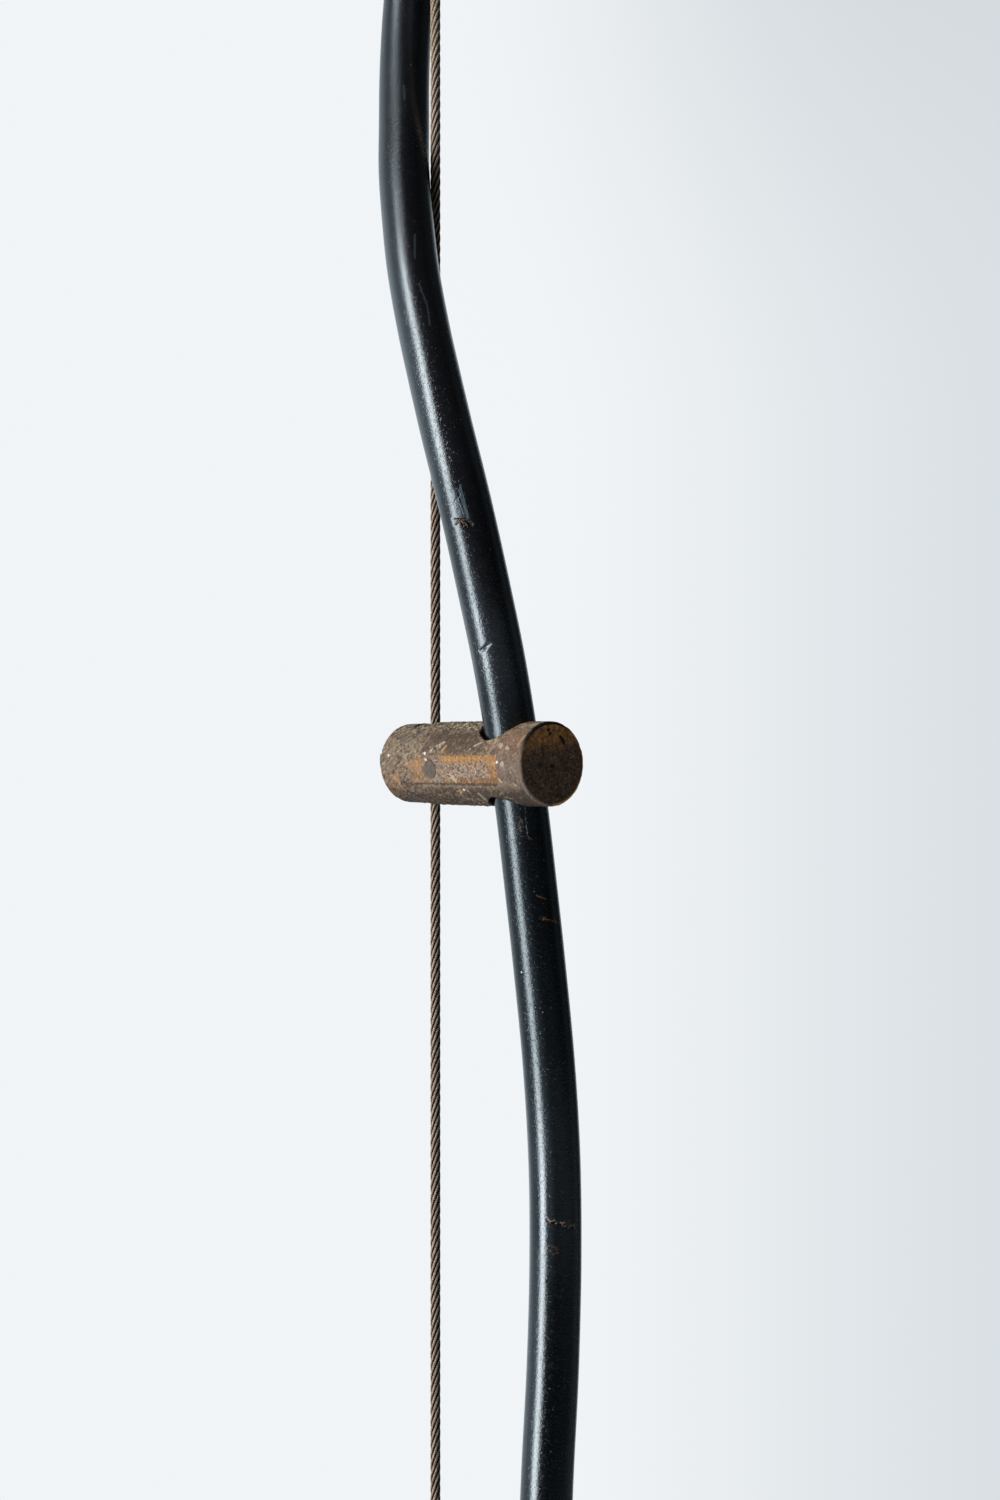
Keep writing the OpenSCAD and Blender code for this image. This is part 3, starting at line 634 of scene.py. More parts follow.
tinned, place = skin_of("tinned_copper")
haze = grain(place, 0.9, 3, 0.6)
color = mixed(step(haze, 0.35, 0.7), (0.48, 0.47, 0.44), (0.3, 0.29, 0.27))
surface(color, 0.3 + 0.25 * haze, 0.9, bump=grain(place, 0.3), bump_mm=0.02)

plastic, place = skin_of("collar_plastic")
haze = grain(place, 1.2, 3, 0.6)
color = mixed(haze, (0.03, 0.034, 0.04), (0.052, 0.056, 0.062))
surface(color, 0.36 + 0.2 * haze, bump=grain(place, 0.35), bump_mm=0.02)

copper, place = skin_of("copper_strands")
color = mixed(grain(place, 0.6, 2), (0.5, 0.22, 0.12), (0.3, 0.13, 0.07))
surface(color, 0.35 + 0.2 * grain(place, 0.4), 1, bump=grain(place, 0.2), bump_mm=0.03)


def crimped(angles, height, radius):
    """Four-sided crimp with cross ribs on the ferrule's sleeve."""
    ribs = 0.05 * (sin(height * 2 * pi / 1.1) > 0)
    return np.minimum(radius, flats(4, 2.48)(angles, height, 2 * radius) + ribs)


def stranded(angles, height, radius):
    """Bare strands twisted round the outside of a bundle."""
    return radius * (0.84 + 0.16 * np.abs(np.cos(3 * angles + 0.9 * height)))


for number in range(3):
    for end, level, sense in (("top", SHEATH_HIGH + CORE_TAIL, 1), ("bottom", SHEATH_LOW - CORE_TAIL, -1)):
        x0, y0, z0 = core_line(number, np.array([float(level)]))[0]
        at = lambda x, y, z: row_point(x0 + x, y0 + y, z0 + sense * z)
        tag = f"{end}_{number + 1}"
        collar = [(1.8, -4), (2.05, -4), (2.2, -3.8), (2.2, 1.6), (2.14, 2.1), (1.95, 2.7), (1.62, 3.7),
                  (1.52, 4), (1.46, 4), (1.46, 0.2), (1.8, 0.2)]
        lathe(f"ferrule_collar_{tag}", collar, at, plastic, "ferrule_collars", 48)
        sleeve = [(1.15, 0.25), (1.45, 0.25), (1.45, 4.6)]
        sleeve += [(1.45, z, crimped) for z in np.arange(4.8, 10.1, 0.15)]
        sleeve += [(1.45, 10.3), (1.45, 10.85), (1.36, 11), (1.15, 11)]
        lathe(f"ferrule_sleeve_{tag}", sleeve, at, tinned, "ferrule_sleeves", 48)
        bundle = [(0, -4), *((1.08, z, stranded) for z in np.arange(-4, 10.5, 0.4)), (0, 10.6)]
        lathe(f"conductor_{tag}", bundle, at, copper, "conductors", 48)

# ----- studs of the rope

# Zinc-plated steel studs, M5, swaged onto the ends of the rope. Each goes through a bracket's arm
# and is drawn tight by a nut on a washer, with a thin lock nut behind it.
TOP_REACH, BOTTOM_REACH, STRIP_T = 208, 204, 5


def top_arm(x0=0, y0=0):
    return lambda x, y, z: row_point(x0 + x, y0 + y, TOP_REACH - z)


def bottom_arm(x0=0, y0=0):
    return lambda x, y, z: row_point(x0 + x, y0 + y, z - BOTTOM_REACH)


def thread(pitch, depth, hand):
    """A V thread of this pitch, cut into the piece's own radius."""
    def cut(angles, height, radius):
        phase = (height / pitch - hand * angles / (2 * pi)) % 1
        return radius - depth * np.clip(1.3 * np.abs(2 * phase - 1) - 0.15, 0, 1)
    return cut


def threaded_run(radius, low, high, pitch, depth, hand):
    """Outline points of a threaded stretch, with its last turn running out."""
    steps = np.arange(low, high, pitch / 8)
    return [(radius, z, thread(pitch, depth * min(1, (z - low) / pitch + 0.2, (high - z) / pitch), hand))
            for z in steps]


zinc, place = skin_of("dull_zinc")
cloud = grain(place, 2.2, 4, 0.65)
spot = grain(place, 0.6, 3, 0.6)
color = mixed(step(cloud, 0.3, 0.75), (0.42, 0.42, 0.4), (0.25, 0.25, 0.24))
color = coated(color,
    (step(spot, 0.66, 0.76), (0.16, 0.085, 0.04)),
    (step(grain(place, 0.25), 0.72, 0.8), (0.55, 0.54, 0.5)))
surface(color, 0.32 + 0.3 * cloud, 0.85, bump=spot + 0.5 * grain(place, 0.25), bump_mm=0.04)


def swaged(angles, height, radius):
    """The sleeve as the dies left it, faintly six-sided, with two spanner flats."""
    pressed = radius - 0.035 * np.abs(np.sin(3 * angles)) - 0.015 * sin(height * 2.1)
    spanner = 2.3 / np.maximum(np.abs(np.cos(angles)), 0.01)
    return np.minimum(pressed, spanner) if 5 <= height <= 11 else pressed


def hexagon(low, high, across, turn, foot, corner, bevel, start):
    """Outline points of a hexagon whose corners are turned off at both ends."""
    shares = (start, 0.4, 0.7, 1)
    slopes = [(t, low + t * bevel) for t in shares] + [(t, high - t * bevel) for t in shares[::-1]]
    sides = [(foot + t * (corner - foot), z, flats(6, across, turn)) for t, z in slopes]
    return [(foot, low)] + sides + [(foot, high)]


ENDS = ("top", top_arm, -1), ("bottom", bottom_arm, 1)
for end, arm, hand in ENDS:
    stud = [(0, -16.7), (2, -16.7), (2.45, -16.3)]
    stud += threaded_run(2.5, -16.2, 3.6, 0.8, 0.45, hand)
    stud += [(2.5, 3.7), (2.5, 4), (2.62, 4.05), (2.7, 4.4)]
    stud += [(2.7, z, swaged) for z in (4.6, 4.99, 5, 8, 11, 11.01, *np.arange(11.5, 29.5, 0.5))]
    stud += [(2.68, 30), (2.5, 30.9), (2.2, 31.6), (1.8, 32), (1.06, 32), (0, 31.9)]
    lathe(f"{end}_stud", stud, arm(), zinc, f"{end}_stud", 72)
    z = -STRIP_T - 1
    washer = [(2.56, z), (4.85, z), (5, z + 0.15), (5, z + 0.9), (4.9, z + 1), (2.56, z + 1)]
    lathe(f"{end}_washer", washer, arm(), zinc, "stud_washers", 72)
    for kind, low, high, turn in (("tension_nut", z - 4, z, 0.1), ("lock_nut", z - 6.7, z - 4, 0.5)):
        outline = [(2.55, low + 0.25), (2.75, low), *hexagon(low, high, 8, turn, 3.9, 4.62, 0.36, 0.15),
                   (2.75, high), (2.55, high - 0.25)]
        lathe(f"{end}_{kind}", outline, arm(), zinc, kind + "s")

# ----- carrier bar

# Round mild-steel bar, sawn off, faced and cross-drilled for the rope and the cable, with a shallow
# milled recess on its side. Years of weather have left it brown, pitted and dusty.
BAR_ROLL = radians(9)
BAR_R, CLAMP_END, CABLE_END = 9.0, -9.3, 41.2
ROPE_HOLE, CABLE_HOLE, ROPE_CLEAR = -1.0, 28.2, 1.75


def bar_place(points):
    """Places on the bar in mm: along it from the rope, across it away from the recess, and up."""
    x, y, z = (points / MM - np.array([3.0, -45.0, -238.5])).T
    along = x * cos(BAR_TURN) + y * sin(BAR_TURN)
    back = y * cos(BAR_TURN) - x * sin(BAR_TURN)
    return np.stack([along, back * cos(BAR_ROLL) + z * sin(BAR_ROLL),
                     z * cos(BAR_ROLL) - back * sin(BAR_ROLL)], -1)


def on_bar(along, across, up):
    """The row's point at a place on the bar."""
    back = across * cos(BAR_ROLL) - up * sin(BAR_ROLL)
    z = across * sin(BAR_ROLL) + up * cos(BAR_ROLL)
    return row_point(along * cos(BAR_TURN) - back * sin(BAR_TURN),
                     along * sin(BAR_TURN) + back * cos(BAR_TURN), z)


def worn_copy(name, node, voxel, sink):
    """The node's solid in fine even faces, moved by sink() along its normals. It stores how much each
    point stands on an edge."""
    piece = placed(name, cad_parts[node].data.copy())
    remesh = piece.modifiers.new("even_faces", "REMESH")
    remesh.mode, remesh.voxel_size = "VOXEL", voxel * MM
    bpy.context.view_layer.update()
    even = piece.evaluated_get(bpy.context.evaluated_depsgraph_get())
    mesh = bpy.data.meshes.new_from_object(even)
    piece.modifiers.clear()
    piece.data = mesh
    points = np.array([v.co for v in mesh.vertices], float)
    normals = np.array([v.normal for v in mesh.vertices], float)
    pairs = np.array([e.vertices[:] for e in mesh.edges])
    a, b = np.concatenate([pairs, pairs[:, ::-1]]).T
    edge = np.bincount(a, ((points[a] - points[b]) * normals[a]).sum(1) / MM, len(points))
    number = np.maximum(np.bincount(a), 1)
    for _ in range(3):
        edge = 0.5 * edge + 0.5 * np.bincount(a, edge[b]) / number
    points = points + normals * np.array(sink(points / MM, edge))[:, None] * MM
    mesh.vertices.foreach_set("co", points.ravel())
    mesh.update()
    mesh.materials.clear()
    mesh.shade_smooth()
    marked(piece, "edge", edge)
    return piece


def weathering(points, edge):
    """How far rust pits and rolled-over edges move the bar's skin, in mm."""
    moves = []
    for (along, across, up), p in zip(bar_place(points * MM), points):
        lumps = lambda often, *shift: noise.noise(Vector(p) * often + Vector(shift or (0, 0, 0)))
        radius = hypot(across, up)
        move = -0.035 + 0.035 * lumps(0.55) + 0.022 * lumps(2.1) - 0.25 * max(0.0, lumps(1.3, 7, 3, 1) - 0.28)
        if radius > 8.7:  # pits
            move -= 0.07 * max(0.0, lumps(1.9, 5, 5, 1))
        if abs(up) > 7.6 and 0 < along < 31:  # crusts on crest and belly
            move += 0.12 + 0.26 * lumps(1.6, 2, 8, 5)
        if radius > 8.2:  # rims of the holes
            for hole, hole_r in ((ROPE_HOLE, 3.0), (CABLE_HOLE, 6.5)):
                rim = abs(hypot(along - hole, across) - hole_r)
                if rim < 0.7:
                    move += (0.7 - rim) * (0.1 + 0.3 * max(0.0, lumps(1.1, 3, 9, 4)))
        if min(abs(along - CLAMP_END), abs(along - CABLE_END)) < 0.8 and radius > 7.8:  # edges
            move -= 0.1 * max(0.0, lumps(0.9) + 0.15)
        if abs(along - 16) < 17.0 and -8.2 < across < -8.0 and abs(up) < 3.4:  # the recess
            move += 0.08 * lumps(1.2)
        moves.append(move)
    return moves


bar = worn_copy("bar", "carrier_bar", 0.24, weathering)
places = bar_place(np.array([v.co for v in bar.data.vertices]))
# The recess runs out to nothing towards the clamp end, packed with rust
in_box = (places[:, 0] > -2) & (places[:, 1] < -7.9) & (np.abs(places[:, 2]) < 3.6)
out = np.hypot(places[:, 1], places[:, 2])
packed = in_box * np.interp(places[:, 0], (0, 6), (1, 0)) * np.clip((8.85 - out) / 0.2, 0, 1)
places[:, 1] -= packed * (np.sqrt(80.6 - np.clip(places[:, 2], -4, 4) ** 2) + places[:, 1])
# Rust has swollen its round side, most at the cable end
out = np.hypot(places[:, 1], places[:, 2])
swollen = np.clip((out - 8.0) / 0.7, 0, 1) * np.interp(places[:, 0], (-8, 10), (0.004, 0.026))
points = on_bar(places[:, 0], places[:, 1] * (1 + 0.3 * swollen), places[:, 2] * (1 + swollen))
# The sliding bar rubs clear of the rope
away = points[:, :2] - row_point(0, 0, 0)[:2]
gap = np.linalg.norm(away, axis=1)[:, None]
points[:, :2] += away / gap * np.maximum(0, ROPE_CLEAR * MM - gap)
bar.data.vertices.foreach_set("co", points.ravel())
marked(bar, "bar", places)
weathered, wires = finish_of("weathered_steel")
place = place_of(wires, "bar")
edge = wires.node("Attribute", {"attribute_name": "edge"}, out=2)
along, across, up = (part_of(place, axis) for axis in "XYZ")
facing = wires.math("ARCTAN2", up, 0 - across) * BAR_R
ragged = grain(place, 1.1, 2) - 0.5
cloud = grain(place, 4.5, 4, 0.6)
blotch = grain(place, 1.5, 3, 0.65)
fleck = grain(place, 0.9, 3, 0.7)
ember = grain(place, 1.3, 3, 0.75)
speck = grain(place, 0.45, 2, 0.6)
radius = (across * across + up * up) ** 0.5
slant = wires.node("CombineXYZ", sockets={
    0: facing - 0.63 * along, 1: (facing + 0.63 * along) * 0.25, 2: across * 0.2})
hatch = grain(slant, 0.65, 3, 0.7)
shaken_along = along + 9 * (blotch - 0.5) + 3 * ragged
shaken_facing = facing + 5 * (blotch - 0.5) + 2 * ragged


def area(a0, a1, f0, f1, soft=0.7):
    """A ragged patch of the bar's side, between two places along it and two round it."""
    length = step(shaken_along, a0 - soft, a0 + soft) * step(shaken_along, a1 + soft, a1 - soft)
    return length * step(shaken_facing, f0 - soft, f0 + soft) * step(shaken_facing, f1 + soft, f1 - soft)


color = mixed(step(cloud + 0.5 * (blotch - 0.5), 0.44, 0.56), (0.105, 0.066, 0.042), (0.215, 0.152, 0.098))
color = mixed(area(-14, 5, -2, 15, 1.5) * 0.5, color, (0.2, 0.152, 0.108))
quiet = area(7, 28, 3.8, 9.8, 1.3)
color = coated(color,
    (quiet * 0.88, (0.095, 0.058, 0.038)),
    (area(-4, 6, 7.5, 12) * 0.5, (0.105, 0.072, 0.046)))
neck = mixed(step(facing, 0.5, 6.5), (0.15, 0.104, 0.083), (0.22, 0.118, 0.072))
color = coated(color,
    (step(along, 30.5, 33.5) * 0.8, neck),
    # Painted shade: the side below the recess is painted darker, standing for the shade under the bar
    (step(facing, -3.4, -5.5) * 0.85, (0.06, 0.037, 0.025)))
calm = 1 - 0.6 * quiet - 0.45 * step(along, 30, 33)
# Rusty bloom, slanting file marks, sandy dust on the crest and round the pin, dark pits
color = coated(color,
    (step(ember, 0.51, 0.6) * 0.6, (0.28, 0.134, 0.066)),
    (step(hatch, 0.52, 0.62) * 0.5 * calm, (0.34, 0.25, 0.165)),
    (step(hatch, 0.48, 0.38) * 0.65 * calm, (0.05, 0.032, 0.022)))
sandy = (0.15 + step(facing, 8.4, 11.5) * step(along, 1, 7) * 0.7
         + area(-3, 14, 2.2, 6.2, 1.6) * 0.3 + area(24, 34, 6, 11) * 0.5)
color = mixed(sandy * step(fleck, 0.49, 0.58) * calm, color, (0.46, 0.345, 0.215))
crest = step(facing, 8.4, 10.5) * step(facing, 24, 20)
color = coated(color,
    (crest * step(ember, 0.5, 0.58) * 0.8, (0.56, 0.44, 0.29)),
    (crest * step(hatch, 0.5, 0.42) * 0.6, (0.09, 0.062, 0.042)),
    (step(fleck, 0.58, 0.66) * 0.6 * calm, (0.42, 0.31, 0.205)),
    (step(fleck, 0.44, 0.36) * 0.8 * calm, (0.045, 0.03, 0.021)),
    # Orange rust: a patch below the recess's far end, and most of the recess's cable half
    (area(-9, -1.5, -6.5, -1) * step(ember, 0.44, 0.56) * 0.5, (0.36, 0.18, 0.08)))
in_length = step(abs(along - 15.95), 17.1, 16.7) * step(along, 0, 3.5)
recess = in_length * step(abs(facing), 3.45, 3.15) * step(across, -6.5, -7.5)
mosaic = mixed(step(fleck, 0.44, 0.54), (0.14, 0.09, 0.068), (0.31, 0.22, 0.158))
mosaic = coated(mosaic,
    (step(speck, 0.57, 0.65) * 0.7, (0.56, 0.47, 0.4)),
    (step(speck, 0.43, 0.35) * 0.8, (0.055, 0.038, 0.03)),
    (step(ember, 0.52, 0.6) * 0.7, (0.36, 0.185, 0.08)))
floor = mixed(step(ember, 0.42, 0.58), (0.15, 0.1, 0.072), (0.31, 0.205, 0.135))
color = mixed(recess * 0.85, color, mixed(step(shaken_along, 9, 13), floor, mosaic))
rust = (area(12.5, 36, 1.4, 8) + area(29.5, 36, -8, 8) + area(14, 36, -8, -2.2) * 0.8
        + area(-6, 9, -8, -2.2) * 0.45 + area(-6, 6, -2.2, 3) * 0.62)
rust_color = mixed(step(facing, -2.5, 1.5), (0.215, 0.1, 0.04), (0.36, 0.172, 0.062))
rust_color = coated(rust_color,
    (step(fleck, 0.5, 0.6) * 0.6, (0.48, 0.29, 0.14)),
    (step(speck, 0.46, 0.38) * 0.7, (0.15, 0.075, 0.036)))
color = mixed(recess * step(rust + 2.2 * (fleck - 0.5), 0.25, 0.75), color, rust_color)
# Painted shade: a dark line along the recess's lower edge, and a painted highlight as a paler line on the lit
# rim just below it
lower_edge = step(abs(facing + 3.32), 0.3, 0.1) * in_length
color = coated(color,
    (step(abs(facing + 3.85), 0.4, 0.12) * in_length * 0.25, (0.29, 0.205, 0.145)),
    (lower_edge * 0.65, (0.03, 0.02, 0.014)))
# Painted shade on the underside below the recess, deeper at the neck by the cable end; the same mix darkens
# the quiet patch above the recess further
shade = step(facing, -3.4, -6) * step(facing, -24, -20) * (0.35 + 0.18 * step(along, 30, 34)) + quiet * 0.26
color = mixed(shade, color, (0.032, 0.019, 0.013))
# Chips of old paint and lime, scratches, spots of bright rust and one dark pit
for paint, share, wobble, marks in (
    ((0.43, 0.345, 0.25), 0.85, 0.9, (
        (33.2, 5.4, 33.7, 5.2, 1), (36, 5.1, 36.5, 4.7, 0.65), (37, 6.6, 37.2, 6.6, 0.5),
        (33.4, -2, 33.7, -2.5, 0.8), (38.1, -3, 38.4, -3.2, 0.6), (37.8, -0.3, 38, -0.3, 0.35),
        (15.6, -0.9, 15.9, -1.9, 0.45), (16.2, -2.1, 17.2, -2.8, 0.85), (24.6, 5.3, 26.2, 5.8, 0.5),
        (34.9, 1.4, 35.3, 1.4, 0.7))),
    ((0.78, 0.74, 0.68), 1, 0.15, (
        (7.3, 3.6, 7.4, 3.6, 0.55), (7.2, 2.4, 7.3, 2.3, 0.5), (33.3, 1.7, 33.4, 1.8, 0.5),
        (19.3, -4.6, 19.5, -4.7, 0.4), (-6.1, 3.3, -6, 3.3, 0.45))),
    ((0.46, 0.38, 0.28), step(fleck, 0.45, 0.56), 0.9, (
        (17.4, -4.2, 18, -9.8, 0.45), (18.7, -6, 20.3, -10.5, 0.3), (20.5, -5, 22, -9, 0.4),
        (23.6, -5.2, 24.6, -9.8, 0.35), (31, -5, 33.6, -7.2, 0.5), (9.6, 4.2, 13.6, 6.3, 0.9),
        (23.2, 4.5, 24.6, 5.3, 0.4))),
    ((0.44, 0.225, 0.1), 0.8, 0.6, (
        (0.8, 1.3, 1, 1.3, 0.6), (-3.2, -3.1, -3, -3.1, 0.6), (-4.4, -2, -3.8, -2.2, 0.9),
        (8.7, -6.6, 9, -6.6, 0.6), (17.6, -5, 18.2, -5.2, 0.8), (39.4, 5.6, 40.2, 7.8, 0.6),
        (13.6, 4.2, 14.2, 5, 0.8))),
    ((0.015, 0.011, 0.009), 0.85, 0.35, ((12.5, 10.2, 12.8, 10.1, 0.8),)),
):
    for one in marks:
        color = mixed(mark(along, facing, ragged, *one, wobble) * share, color, paint)
color = coated(color,
    (step(speck, 0.68, 0.71) * 0.8, (0.62, 0.56, 0.48)),
    (step(speck, 0.34, 0.28), (0.018, 0.013, 0.01)))
# The faces of the ends: dark brown, with an orange crescent at the top of the cable end
face = step(along, CABLE_END - 0.32, CABLE_END - 0.16)
face = face.math("MAXIMUM", face, step(0 - along, -CLAMP_END - 0.32, -CLAMP_END - 0.16))
end_color = mixed(step(blotch, 0.42, 0.58), (0.24, 0.13, 0.08), (0.13, 0.08, 0.053))
dusty = 0.15 + 0.85 * step(along, 0, 1)
crescent = step(up + 0.05 * across + 8 * (blotch - 0.5) + 4 * ragged, 1.6, 6.4)
end_color = coated(end_color,
    (crescent * dusty, mixed(step(fleck, 0.45, 0.6), (0.62, 0.245, 0.062), (1, 0.48, 0.14))),
    (step(ember, 0.54, 0.64) * 0.45, (0.33, 0.16, 0.075)),
    (step(fleck, 0.56, 0.66) * 0.5, (0.38, 0.25, 0.15)),
    (step(fleck, 0.46, 0.36) * (0.75 - 0.35 * crescent), (0.03, 0.019, 0.013)),
    (step(blotch + 0.6 * (speck - 0.5), 0.56, 0.64) * 0.5 * dusty, (0.34, 0.2, 0.12)),
    (step(speck, 0.63, 0.69) * 0.7 * dusty, (0.7, 0.55, 0.4)))
centre_mark = step(radius + 1.5 * ragged, 1.5, 0.7)
end_color = mixed(centre_mark * 0.7 * dusty, end_color, (0.6, 0.25, 0.07))
for y, z, size in ((0.0, 7.3, 0.55), (0.3, 6.6, 0.6), (3.2, 5.4, 0.45), (3.5, 4.7, 0.75), (3.8, 4.2, 0.6)):
    near = ((across - y) * (across - y) + (up - z) * (up - z)) ** 0.5 + 0.8 * ragged
    end_color = mixed(step(near, size, size * 0.4) * dusty, end_color, (0.012, 0.009, 0.008))
color = mixed(face, color, end_color)
# Painted light round the rim of the cable end's face: a pale painted highlight on the recess side, a dark
# painted shadow line along the top, and a bright orange painted rim light on the back and lower side
rim = step(along + radius, CABLE_END + BAR_R - 0.95, CABLE_END + BAR_R - 0.6) * step(radius, 8.3, 8.5)
color = coated(color,
    (rim * step(0 - across, -4, 0), (0.2, 0.14, 0.1)),
    (rim * step(up, 3, 6.5), (0.016, 0.01, 0.007)),
    (rim * step(across - 0.45 * up, 1, 5), (1, 0.5, 0.18)))
rough = 0.68 + 0.25 * (cloud - 0.5) - 0.14 * step(edge, 0.08, 0.2)
relief = 0.5 * blotch + 0.7 * fleck + 0.4 * speck + 0.4 * hatch - 0.6 * lower_edge
surface(color, rough, 0.15, bump=relief, bump_mm=0.3, constants={"Specular IOR Level": 0.3})
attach(bar, "carrier")
dress(bar, weathered, "carrier_bar")

# Grime packed round the rope in both mouths of its hole
for name, sense in (("grime_above", 1), ("grime_below", -1)):
    outline = [(0, -0.08), (1.2, -0.1), (2.2, -0.2), (2.9, -0.4), (2.95, -1.5), (0, -1.5)]
    at = lambda x, y, z: on_bar(ROPE_HOLE + x, y, sense * (np.sqrt(BAR_R**2 - y**2) + z))
    grime = lathe(name, outline, at, weathered, "carrier_bar", 32, "carrier")
    marked(grime, "bar", bar_place(np.array([v.co for v in grime.data.vertices])))

# ----- flush pin

# A short steel pin, driven into the recess and rubbed smooth: it shows as a dark round spot.
pin_steel, place = skin_of("pin_steel")
cloud = grain(place, 1.2, 3, 0.6)
color = mixed(step(cloud, 0.35, 0.7), (0.15, 0.106, 0.084), (0.105, 0.078, 0.064))
color = mixed(step(grain(place, 0.3), 0.66, 0.74), color, (0.24, 0.17, 0.11))
surface(color, 0.55 + 0.2 * cloud, 0.45, bump=cloud + 0.4 * grain(place, 0.25), bump_mm=0.05)


def finished(node, skin):
    """A piece that keeps its own solid shape, with this finish."""
    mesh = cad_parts[node].data
    mesh.materials.clear()
    mesh.materials.append(skin)


finished("flush_pin", pin_steel)

# ----- clamp screw and pad

# A square-headed M5 set screw, oil-blacked, turns in the bar's far end and drives a short round pad
# against the rope. The pad slides without turning, so the strands aren't scuffed.
blued, place = skin_of("blued_steel")
cloud = grain(place, 2, 4, 0.6)
spot = grain(place, 0.5, 3, 0.6)
color = mixed(step(cloud, 0.3, 0.7), (0.105, 0.12, 0.135), (0.19, 0.205, 0.215))
color = mixed(step(spot, 0.6, 0.7), color, (0.16, 0.08, 0.035))
surface(color, 0.38 + 0.25 * cloud, 0.75, bump=spot, bump_mm=0.06)
finished("clamp_pad", blued)

SCREW_TIP, SCREW_HEAD, SCREW_END = -5.25, 8.05, 13.05


def head_flats(angles, height, radius):
    """Square head of 5 mm, turned to a cone at its end."""
    cone = 1.76 + (SCREW_END - height) * 3.3 / 2.05
    return np.minimum(cone, flats(4, 5)(angles, height, radius))


screw = [(0, 0), (1.7, 0), (2, 0.12), (2.42, 0.5)]
screw += threaded_run(2.5, 0.55, 7.5, 0.8, 0.45, -1)
screw += [(2.2, 7.6), (2.2, 7.95), (2.3, SCREW_HEAD)]
screw += [(2.45, SCREW_HEAD, flats(4, 5)), (3.6, SCREW_HEAD + 0.12, flats(4, 5))]
screw += [(3.6, z, head_flats) for z in (8.4, 9, 10, 11, *np.arange(11.2, 13.06, 0.15))]
screw += [(1.55, SCREW_END), (0, SCREW_END)]
lathe("clamp_screw", screw, lambda x, y, z: on_bar(SCREW_TIP - z, x, y), blued,
      "clamp_screw", body="screw")

# ----- brackets

# Two brackets of 5 mm steel strip, bent square and drilled, then painted grey. The paint is worn
# off the edges and has dark rust under it.
def sprayed(points, edge):
    """How far uneven paint and chipped edges move the brackets' skin, in mm."""
    lumps = lambda p, often: noise.noise(Vector(p) * often)
    return [-0.03 + 0.012 * lumps(p, 0.35) - 0.05 * (e > 0.2 and lumps(p, 0.8) > 0.1)
            for p, e in zip(points, edge)]


grey_paint, place = skin_of("grey_paint")
edge = place.node("Attribute", {"attribute_name": "edge"}, out=2)
cloud = grain(place, 14, 4, 0.6)
drip = grain(place, 3, 3, 0.6, (1, 1, 0.25))
fleck = grain(place, 0.8, 3, 0.65)
color = mixed(step(cloud, 0.35, 0.65), (0.175, 0.19, 0.2), (0.215, 0.228, 0.235))
color = coated(color,
    (step(drip, 0.56, 0.74) * 0.35, (0.12, 0.105, 0.085)),
    (step(fleck, 0.7, 0.74), (0.3, 0.29, 0.27)))
wear = edge + 0.75 * (grain(place, 2.2, 4, 0.65) - 0.5)
worn, rust = step(wear, 0.22, 0.27), step(wear, 0.15, 0.22)
color = coated(color,
    (rust, (0.085, 0.036, 0.016)),
    (worn, mixed(fleck, (0.22, 0.19, 0.17), (0.36, 0.34, 0.32))))
relief = 0.7 * grain(place, 0.9, 2) - 0.8 * rust
surface(color, 0.34 + 0.22 * cloud + 0.15 * rust, 0.7 * worn, bump=relief, bump_mm=0.07)
for node in ("top_bracket", "bottom_bracket"):
    piece = worn_copy(f"{node}_painted", node, 0.55, sprayed)
    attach(piece, "line")
    dress(piece, grey_paint, node)

# ----- cable glands

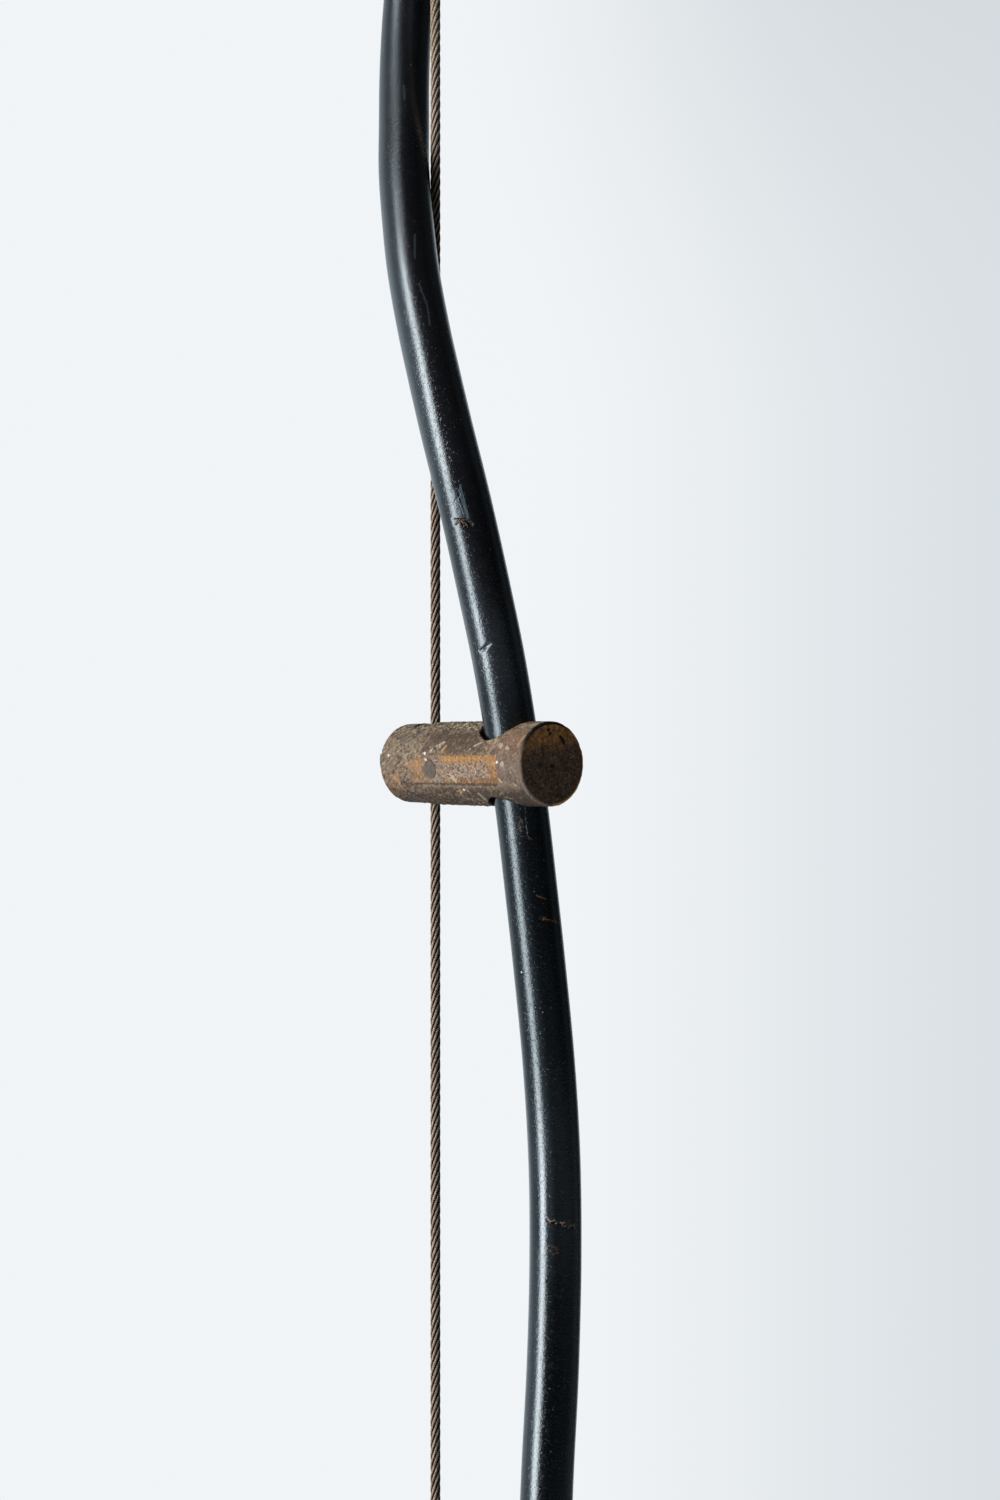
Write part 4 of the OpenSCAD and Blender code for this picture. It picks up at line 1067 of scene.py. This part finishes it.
# M20 brass cable glands: the body screws through the bracket's arm into a lock nut, and the cap
# squeezes a rubber ring round the cable. The brass is dull, with greenish grime in its corners.
brass, place = skin_of("dull_brass")
cloud = grain(place, 4, 4, 0.6)
spot = grain(place, 0.7, 3, 0.6)
color = mixed(step(cloud, 0.3, 0.7), (0.46, 0.31, 0.125), (0.32, 0.2, 0.08))
color = coated(color,
    (step(spot, 0.6, 0.72), (0.14, 0.11, 0.055)),
    (step(grain(place, 1.6, 3), 0.66, 0.72) * 0.6, (0.11, 0.15, 0.095)))
surface(color, 0.34 + 0.28 * cloud, 0.9, bump=spot + 0.4 * grain(place, 0.3), bump_mm=0.05)

seal_rubber, place = skin_of("seal_rubber")
color = mixed(grain(place, 1.5, 3), (0.01, 0.01, 0.011), (0.022, 0.021, 0.021))
surface(color, 0.62 + 0.2 * grain(place, 2), bump=grain(place, 0.4), bump_mm=0.05)


def gland_hexagon(low, high, across, turn):
    return hexagon(low, high, across, turn, across / 2 - 0.25, across / 2 / cos(pi / 6), 0.9, 0.1)


for (end, arm, hand), (x, y) in zip(ENDS, ((-6, 18.5), (24, -24))):
    body = [(6.6, -10.6), (6.9, -11), (9.3, -11), (9.9, -10.7)]
    body += threaded_run(10, -10.6, -0.4, 1.5, 0.85, hand)
    body += [(9, -0.3), (9, 0)] + gland_hexagon(0.02, 6, 22, 0)
    body += [(8.75, 6.05), (8.6, 6.3), (8.6, 10.8), (8.4, 11), (6.6, 11)]
    cap = [(8.7, 6.3), (8.7, 16), (6.6, 16), (6.6, 18.3), (6.75, 18.5), (8.05, 18.5)]
    dome = np.radians(np.arange(82.5, 0, -7.5))
    cap += [(8.05 + 2.35 * cos(a), 14.3 + 4.2 * sin(a)) for a in dome]
    cap += [(10.4, 14.28)] + gland_hexagon(6.35, 14.25, 22, 0.3)[::-1] + [(8.8, 6.3)]
    nut = [(10.05, -8.8), (10.2, -9)] + gland_hexagon(-9, -5, 24, 0.15) + [(10.2, -5), (10.05, -5.2)]
    for kind, outline in (("body", body), ("cap", cap), ("nut", nut)):
        node = f"{end}_gland_{kind}"
        lathe(node, outline, arm(x, y), brass, node)
    finished(f"{end}_gland_seal", seal_rubber)
